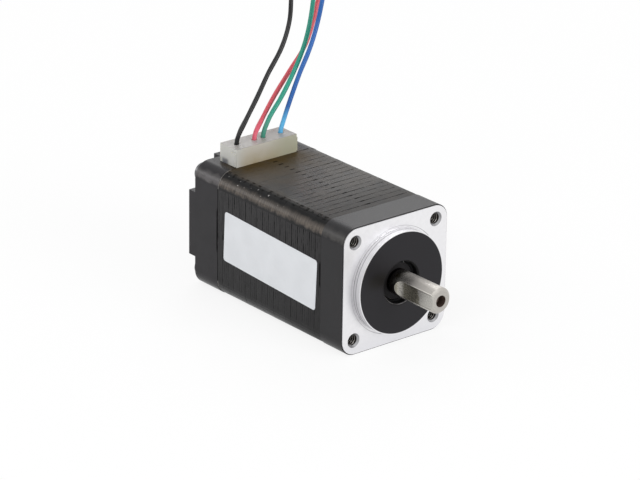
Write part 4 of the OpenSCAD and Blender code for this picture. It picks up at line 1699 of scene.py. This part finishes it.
LEADS = (
    LeadRoute("black", (0.004, 0.004, 0.0045), (0.004, 0.004, 0.0045), (
        (-31.55, -4.8, 11.4), (-31.55, -4.8, 12.9), (-31.8, -3, 15.9), (-32.3, -0.5, 18.8),
        (-33, 2.4, 22.3), (-33.8, 5.7, 25.7), (-34.7, 7.8, 29.2), (-35.6, 8.8, 32.6),
        (-37.8, 10.9, 35.4), (-41.4, 13.9, 35.5), (-44.3, 16.2, 32.7), (-44.8, 16.29, 28.7),
        (-44.2, 15.64, 25.8), (-43.3, 14.1, 23.1), (-42.5, 11.83, 20.4), (-41.8, 9.19, 17.9),
        (-41.1, 6.93, 15.5), (-40.3, 4.42, 13), (-39.5, 1.84, 10.4), (-39.2, 1, 7),
        (-39.6, 2.2, 2.5), (-40.3, 5.8, -2.5), (-41.4, 11.5, -6.9), (-42.2, 17, -9),
    )),
    LeadRoute("red", (0.64, 0.095, 0.12), (0.62, 0.1, 0.15), (
        (-31.55, -1.4, 11.4), (-31.55, -1.4, 12.9), (-32.6, 0.7, 14.9), (-33.7, 3.7, 17.4),
        (-34.9, 7.9, 20.7), (-36, 12.1, 24.1), (-37, 14.4, 27.3), (-38, 16.3, 30.5),
        (-39.4, 18.5, 32.1), (-41.7, 20.8, 32), (-43.5, 21.9, 30.3), (-43.7, 20.99, 28),
        (-43.2, 19.71, 25.3), (-42.3, 17.98, 22.8), (-41.5, 15.57, 20.1), (-40.8, 12.34, 17.6),
        (-40.1, 9.39, 15.2), (-39.3, 6.66, 12.7), (-38.5, 4.2, 10.1), (-38.4, 4, 7.4),
        (-38.9, 4.9, 3), (-40, 8.2, -2.2), (-41.4, 13.4, -6), (-42.2, 18, -7.8),
    )),
    LeadRoute("green", (0.018, 0.29, 0.2), (0.045, 0.235, 0.165), (
        (-31.55, 0.3, 11.4), (-31.55, 0.3, 12.9), (-31.8, 1.35, 15), (-32.3, 4.1, 17.8),
        (-33.3, 7.6, 21.3), (-34.4, 10.5, 24.7), (-35.6, 12.6, 27.9), (-36.8, 14.2, 31.2),
        (-39.5, 17, 34), (-43.6, 20.6, 33.9), (-46.7, 22.9, 30.9), (-47, 22.63, 26.9),
        (-46.3, 21.54, 24), (-45.2, 19.89, 21.4), (-44.3, 17.88, 18.7), (-43.4, 15.53, 16.2),
        (-42.4, 12.83, 13.8), (-41.5, 9.76, 11.4), (-40.9, 8.04, 9.5), (-40.4, 6.8, 7.2),
        (-40.6, 8, 3.2), (-41.2, 10.9, -0.8), (-41.9, 15.2, -4.5), (-42.3, 18.7, -6.4),
    )),
    LeadRoute("blue", (0.014, 0.105, 0.37), (0.1, 0.4, 0.68), (
        (-31.55, 3.7, 11.4), (-31.55, 3.7, 12.9), (-31.6, 4.3, 14.6), (-31.9, 5.8, 17.5),
        (-32.4, 8.1, 21.4), (-33, 10.7, 25.1), (-33.7, 12.6, 28.5), (-34.3, 14, 31.9),
        (-36.7, 16.8, 34.5), (-40.9, 20.7, 34.3), (-44.4, 23.2, 31.3), (-45.2, 23.06, 27.3),
        (-44.6, 21.81, 24.5), (-43.5, 19.98, 22), (-42.6, 17.9, 19.3), (-41.8, 15.59, 16.7),
        (-41, 13.55, 14.1), (-40.1, 11.54, 11.5), (-39.4, 10.08, 9.4), (-39.3, 9.4, 6.8),
        (-39.8, 10.4, 3.2), (-40.7, 12.8, -0.1), (-41.7, 16.2, -3.4), (-42.3, 19, -5.1),
    )),
)


@dataclass
class LeadSet:
    """Four leads of one length, each wound on in its own layer of the coil, and their tie."""

    length: float = 300.0
    diameter: float = 0.7
    tip: float = 2.0
    tip_diameter: float = 0.4
    lift: float = 0.25
    centre: Span = (-32.0, 22.0)
    radius: float = 10.4
    pitch: float = 1.25
    end_radius: float = 3.0
    end_angle: float = math.radians(60.0)
    free_steps: int = 5
    turn_steps: int = 48
    end_steps: int = 8
    sides: int = 14
    strands: int = 6
    strand_sides: int = 6
    strand_steps: int = 8
    twist: float = 0.6

    def layer(self, index: int) -> float:
        """Height of one lead's layer of the coil."""
        return BASE_Z + self.lift + self.diameter / 2 + index * self.pitch

    def path(self, index: int) -> Points:
        """Centreline of one lead from its crimp to the end of its insulation.

        Args:
            index: The lead's place in LEADS.

        Returns:
            Points along it, in millimetres.
        """
        z = self.layer(index)
        x0, y0 = self.centre
        free = [Vector(point) for point in LEADS[index].points]
        free.append(Vector((x0 - self.radius, y0 - self.diameter, z)))
        used = sum((b - a).length for a, b in zip(free, free[1:]))
        rest = self.length - used - 2 * self.diameter - self.end_radius * self.end_angle - self.tip
        turns = (self.radius - math.sqrt(self.radius**2 - self.pitch * rest / math.pi)) / self.pitch
        path = smooth_path([*free, Vector((x0 - self.radius, y0, z))], self.free_steps)[:-1]
        count = math.ceil(turns * self.turn_steps)
        for k in range(count + 1):
            turn = turns * k / count
            angle, reach = math.pi - 2 * math.pi * turn, self.radius - self.pitch * turn
            path.append(Vector((x0 + reach * math.cos(angle), y0 + reach * math.sin(angle), z)))
        end = math.pi - 2 * math.pi * turns
        reach = self.radius - self.pitch * turns - self.end_radius
        bend = Vector((x0 + reach * math.cos(end), y0 + reach * math.sin(end), z))
        for k in range(1, self.end_steps + 1):
            angle = end - self.end_angle * k / self.end_steps
            path.append(bend + Vector((math.cos(angle), math.sin(angle), 0.0)) * self.end_radius)
        last = end - self.end_angle
        path.append(path[-1] + Vector((math.sin(last), -math.cos(last), 0.0)) * self.diameter)
        return path

    def build(self, finish: Finish) -> None:
        """Makes the leads and their tips, and dresses the tie.

        Args:
            finish: The motor's finishes.
        """
        dress(finish.tie, "coil_tie")
        tips = self._tips(finish)
        for index, route in enumerate(LEADS):
            path = [point * MM for point in self.path(index)]
            name = f"cord_{route.name}"
            mesh = sweep_tube(name, path, self.diameter / 2 * MM, self.sides)
            material = Insulation(route.colour, route.painted_plug_light).make(f"insulation_{route.name}")
            piece = new_piece(name, mesh, material)
            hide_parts(f"lead_{route.name}", f"coil_{route.name}")

    def _tips(self, finish: Finish) -> bpy.types.Object:
        """Makes the bare ends: six fine strands twisted round a seventh, on each lead.

        Args:
            finish: The motor's finishes.

        Returns:
            The four ends as one piece.
        """
        made = bmesh.new()
        for index in range(len(LEADS)):
            path = self.path(index)
            way = (path[-1] - path[-2]).normalized()
            for strand in range(self.strands + 1):
                part = self._strand(strand, path[-1], way)
                made.from_mesh(part)
                bpy.data.meshes.remove(part)
        piece = new_piece("twisted_tips", as_mesh("twisted_tips", made), finish.tip)
        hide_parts("lead_tips")
        return piece

    def _strand(self, strand: int, start: Vector, way: Vector) -> bpy.types.Mesh:
        """Makes one strand of a bare end.

        Args:
            strand: Its number; the last one runs straight in the middle.
            start: Where the insulation ends.
            way: Direction in which the end runs on.

        Returns:
            The strand's mesh.
        """
        side = Vector((0.0, 0.0, 1.0))
        other = way.cross(side)
        radius = self.tip_diameter / 6
        reach = 0.0 if strand == self.strands else 2 * radius
        points = []
        for step in range(self.strand_steps + 1):
            run = step / self.strand_steps
            angle = 2 * math.pi * (strand / self.strands + run * self.twist)
            out = (side * math.cos(angle) + other * math.sin(angle)) * reach
            points.append((start + way * (run * self.tip) + out) * MM)
        return sweep_tube("strand", points, radius * MM, self.strand_sides)


@dataclass(frozen=True)
class Lamp:
    """One soft square lamp: its place and size in metres, and its power in watts."""

    name: str
    place: Triple
    size: float
    power: float

    def light(self, target: Triple) -> None:
        """Adds the lamp to the scene.

        Args:
            target: What it faces.
        """
        data = bpy.data.lights.new(self.name, "AREA")
        data.shape = "SQUARE"
        data.size = self.size
        data.energy = self.power
        way = Vector(target) - Vector(self.place)
        turn = way.to_track_quat("-Z", "Y").to_matrix().to_4x4()
        link(self.name, data).matrix_world = Matrix.Translation(self.place) @ turn


@dataclass
class Studio:
    """Camera, soft lamps, white world and pale floor."""

    eye: Triple = (0.35308, -0.30783, 0.19638)
    right: Triple = (0.63460, 0.77271, 0.01441)
    up: Triple = (-0.29943, 0.22864, 0.92632)
    back: Triple = (0.71248, -0.59215, 0.37647)
    focal_pixels: float = 3467.734
    picture_width: float = 640.0
    sensor: float = 36.0
    clip: Span = (0.01, 20.0)
    target: Triple = (-0.012, 0.0, 0.0)
    lamps: tuple[Lamp, ...] = (
        Lamp("key_lamp", (0.10, -0.55, 0.65), 0.5, 2.4),
        Lamp("front_lamp", (0.85, 0.25, 0.35), 0.5, 4.3),
        Lamp("back_lamp", (-0.5, 0.5, 0.6), 0.5, 1.9),
        Lamp("edge_lamp", (-0.506, -0.442, 0.231), 0.16, 0.4),
    )
    floor_gap: float = 0.02
    floor_half: float = 3.0
    floor_colour: Colour = (0.8, 0.8, 0.8)
    floor_glow: float = 0.85
    sky: float = 0.7

    def camera(self) -> None:
        """Places the camera at the photograph's angle."""
        data = bpy.data.cameras.new("camera")
        data.sensor_width = self.sensor
        data.lens = self.focal_pixels * self.sensor / self.picture_width
        data.clip_start, data.clip_end = self.clip
        camera = link("camera", data)
        turn = Matrix((self.right, self.up, self.back)).transposed().to_4x4()
        camera.matrix_world = Matrix.Translation(self.eye) @ turn
        bpy.context.scene.camera = camera

    def build(self) -> None:
        """Makes the lamps, the world and the floor."""
        for lamp in self.lamps:
            lamp.light(self.target)
        self._world()
        self._floor()
        bpy.context.scene.view_settings.view_transform = "Standard"

    @staticmethod
    def _seen(nodes: Nodes) -> Field:
        """1 for rays that show a surface to the camera, straight or by reflection.

        Args:
            nodes: The tree that needs it.

        Returns:
            The mask.
        """
        rays = nodes.node("ShaderNodeLightPath").outputs
        names = ("Is Camera Ray", "Is Glossy Ray", "Is Transmission Ray")
        camera, glossy, through = (Field(nodes, rays[name]) for name in names)
        return camera.at_least(glossy).at_least(through)

    def _world(self) -> None:
        """Plain light from all round, and white where it is seen."""
        world = bpy.data.worlds.new("studio")
        bpy.context.scene.world = world
        world.use_nodes = True
        nodes = Nodes(world.node_tree)
        light, white = (
            nodes.node("ShaderNodeBackground", values={"Color": WHITE, "Strength": strength})
            for strength in (self.sky, 1.0)
        )
        shaders = {0: self._seen(nodes), 1: light.outputs[0], 2: white.outputs[0]}
        mix = nodes.node("ShaderNodeMixShader", values=shaders)
        nodes.node("ShaderNodeOutputWorld", values={"Surface": mix.outputs[0]})

    def _floor(self) -> None:
        """Lays a large white floor that keeps a soft shadow."""
        half, z = self.floor_half, (BASE_Z - self.floor_gap) * MM
        mesh = bpy.data.meshes.new("floor")
        corners = [(-half, -half, z), (half, -half, z), (half, half, z), (-half, half, z)]
        mesh.from_pydata(corners, [], [(0, 1, 2, 3)])
        floor = link("floor", mesh)
        shader = Shader("floor_white")
        matt = shader.node("ShaderNodeBsdfDiffuse", values={"Color": opaque(self.floor_colour)})
        glow = shader.node("ShaderNodeEmission", values={"Strength": 1.0})
        share = self._seen(shader) * self.floor_glow
        shaders = {0: share, 1: matt.outputs[0], 2: glow.outputs[0]}
        mix = shader.node("ShaderNodeMixShader", values=shaders)
        shader.node("ShaderNodeOutputMaterial", values={"Surface": mix.outputs[0]})
        mesh.materials.append(shader.material)


def main() -> None:
    """Builds the studio and every sub-assembly."""
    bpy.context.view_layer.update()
    studio = Studio()
    studio.camera()
    finish = Finish()
    LeadSet().build(finish)
    studio.build()
    for part in (Frame(), Stator(), Rotor(), Bearings(), Connector()):
        part.build(finish)
        log.info("%s built", type(part).__name__)


if __name__ == "__main__":
    main()
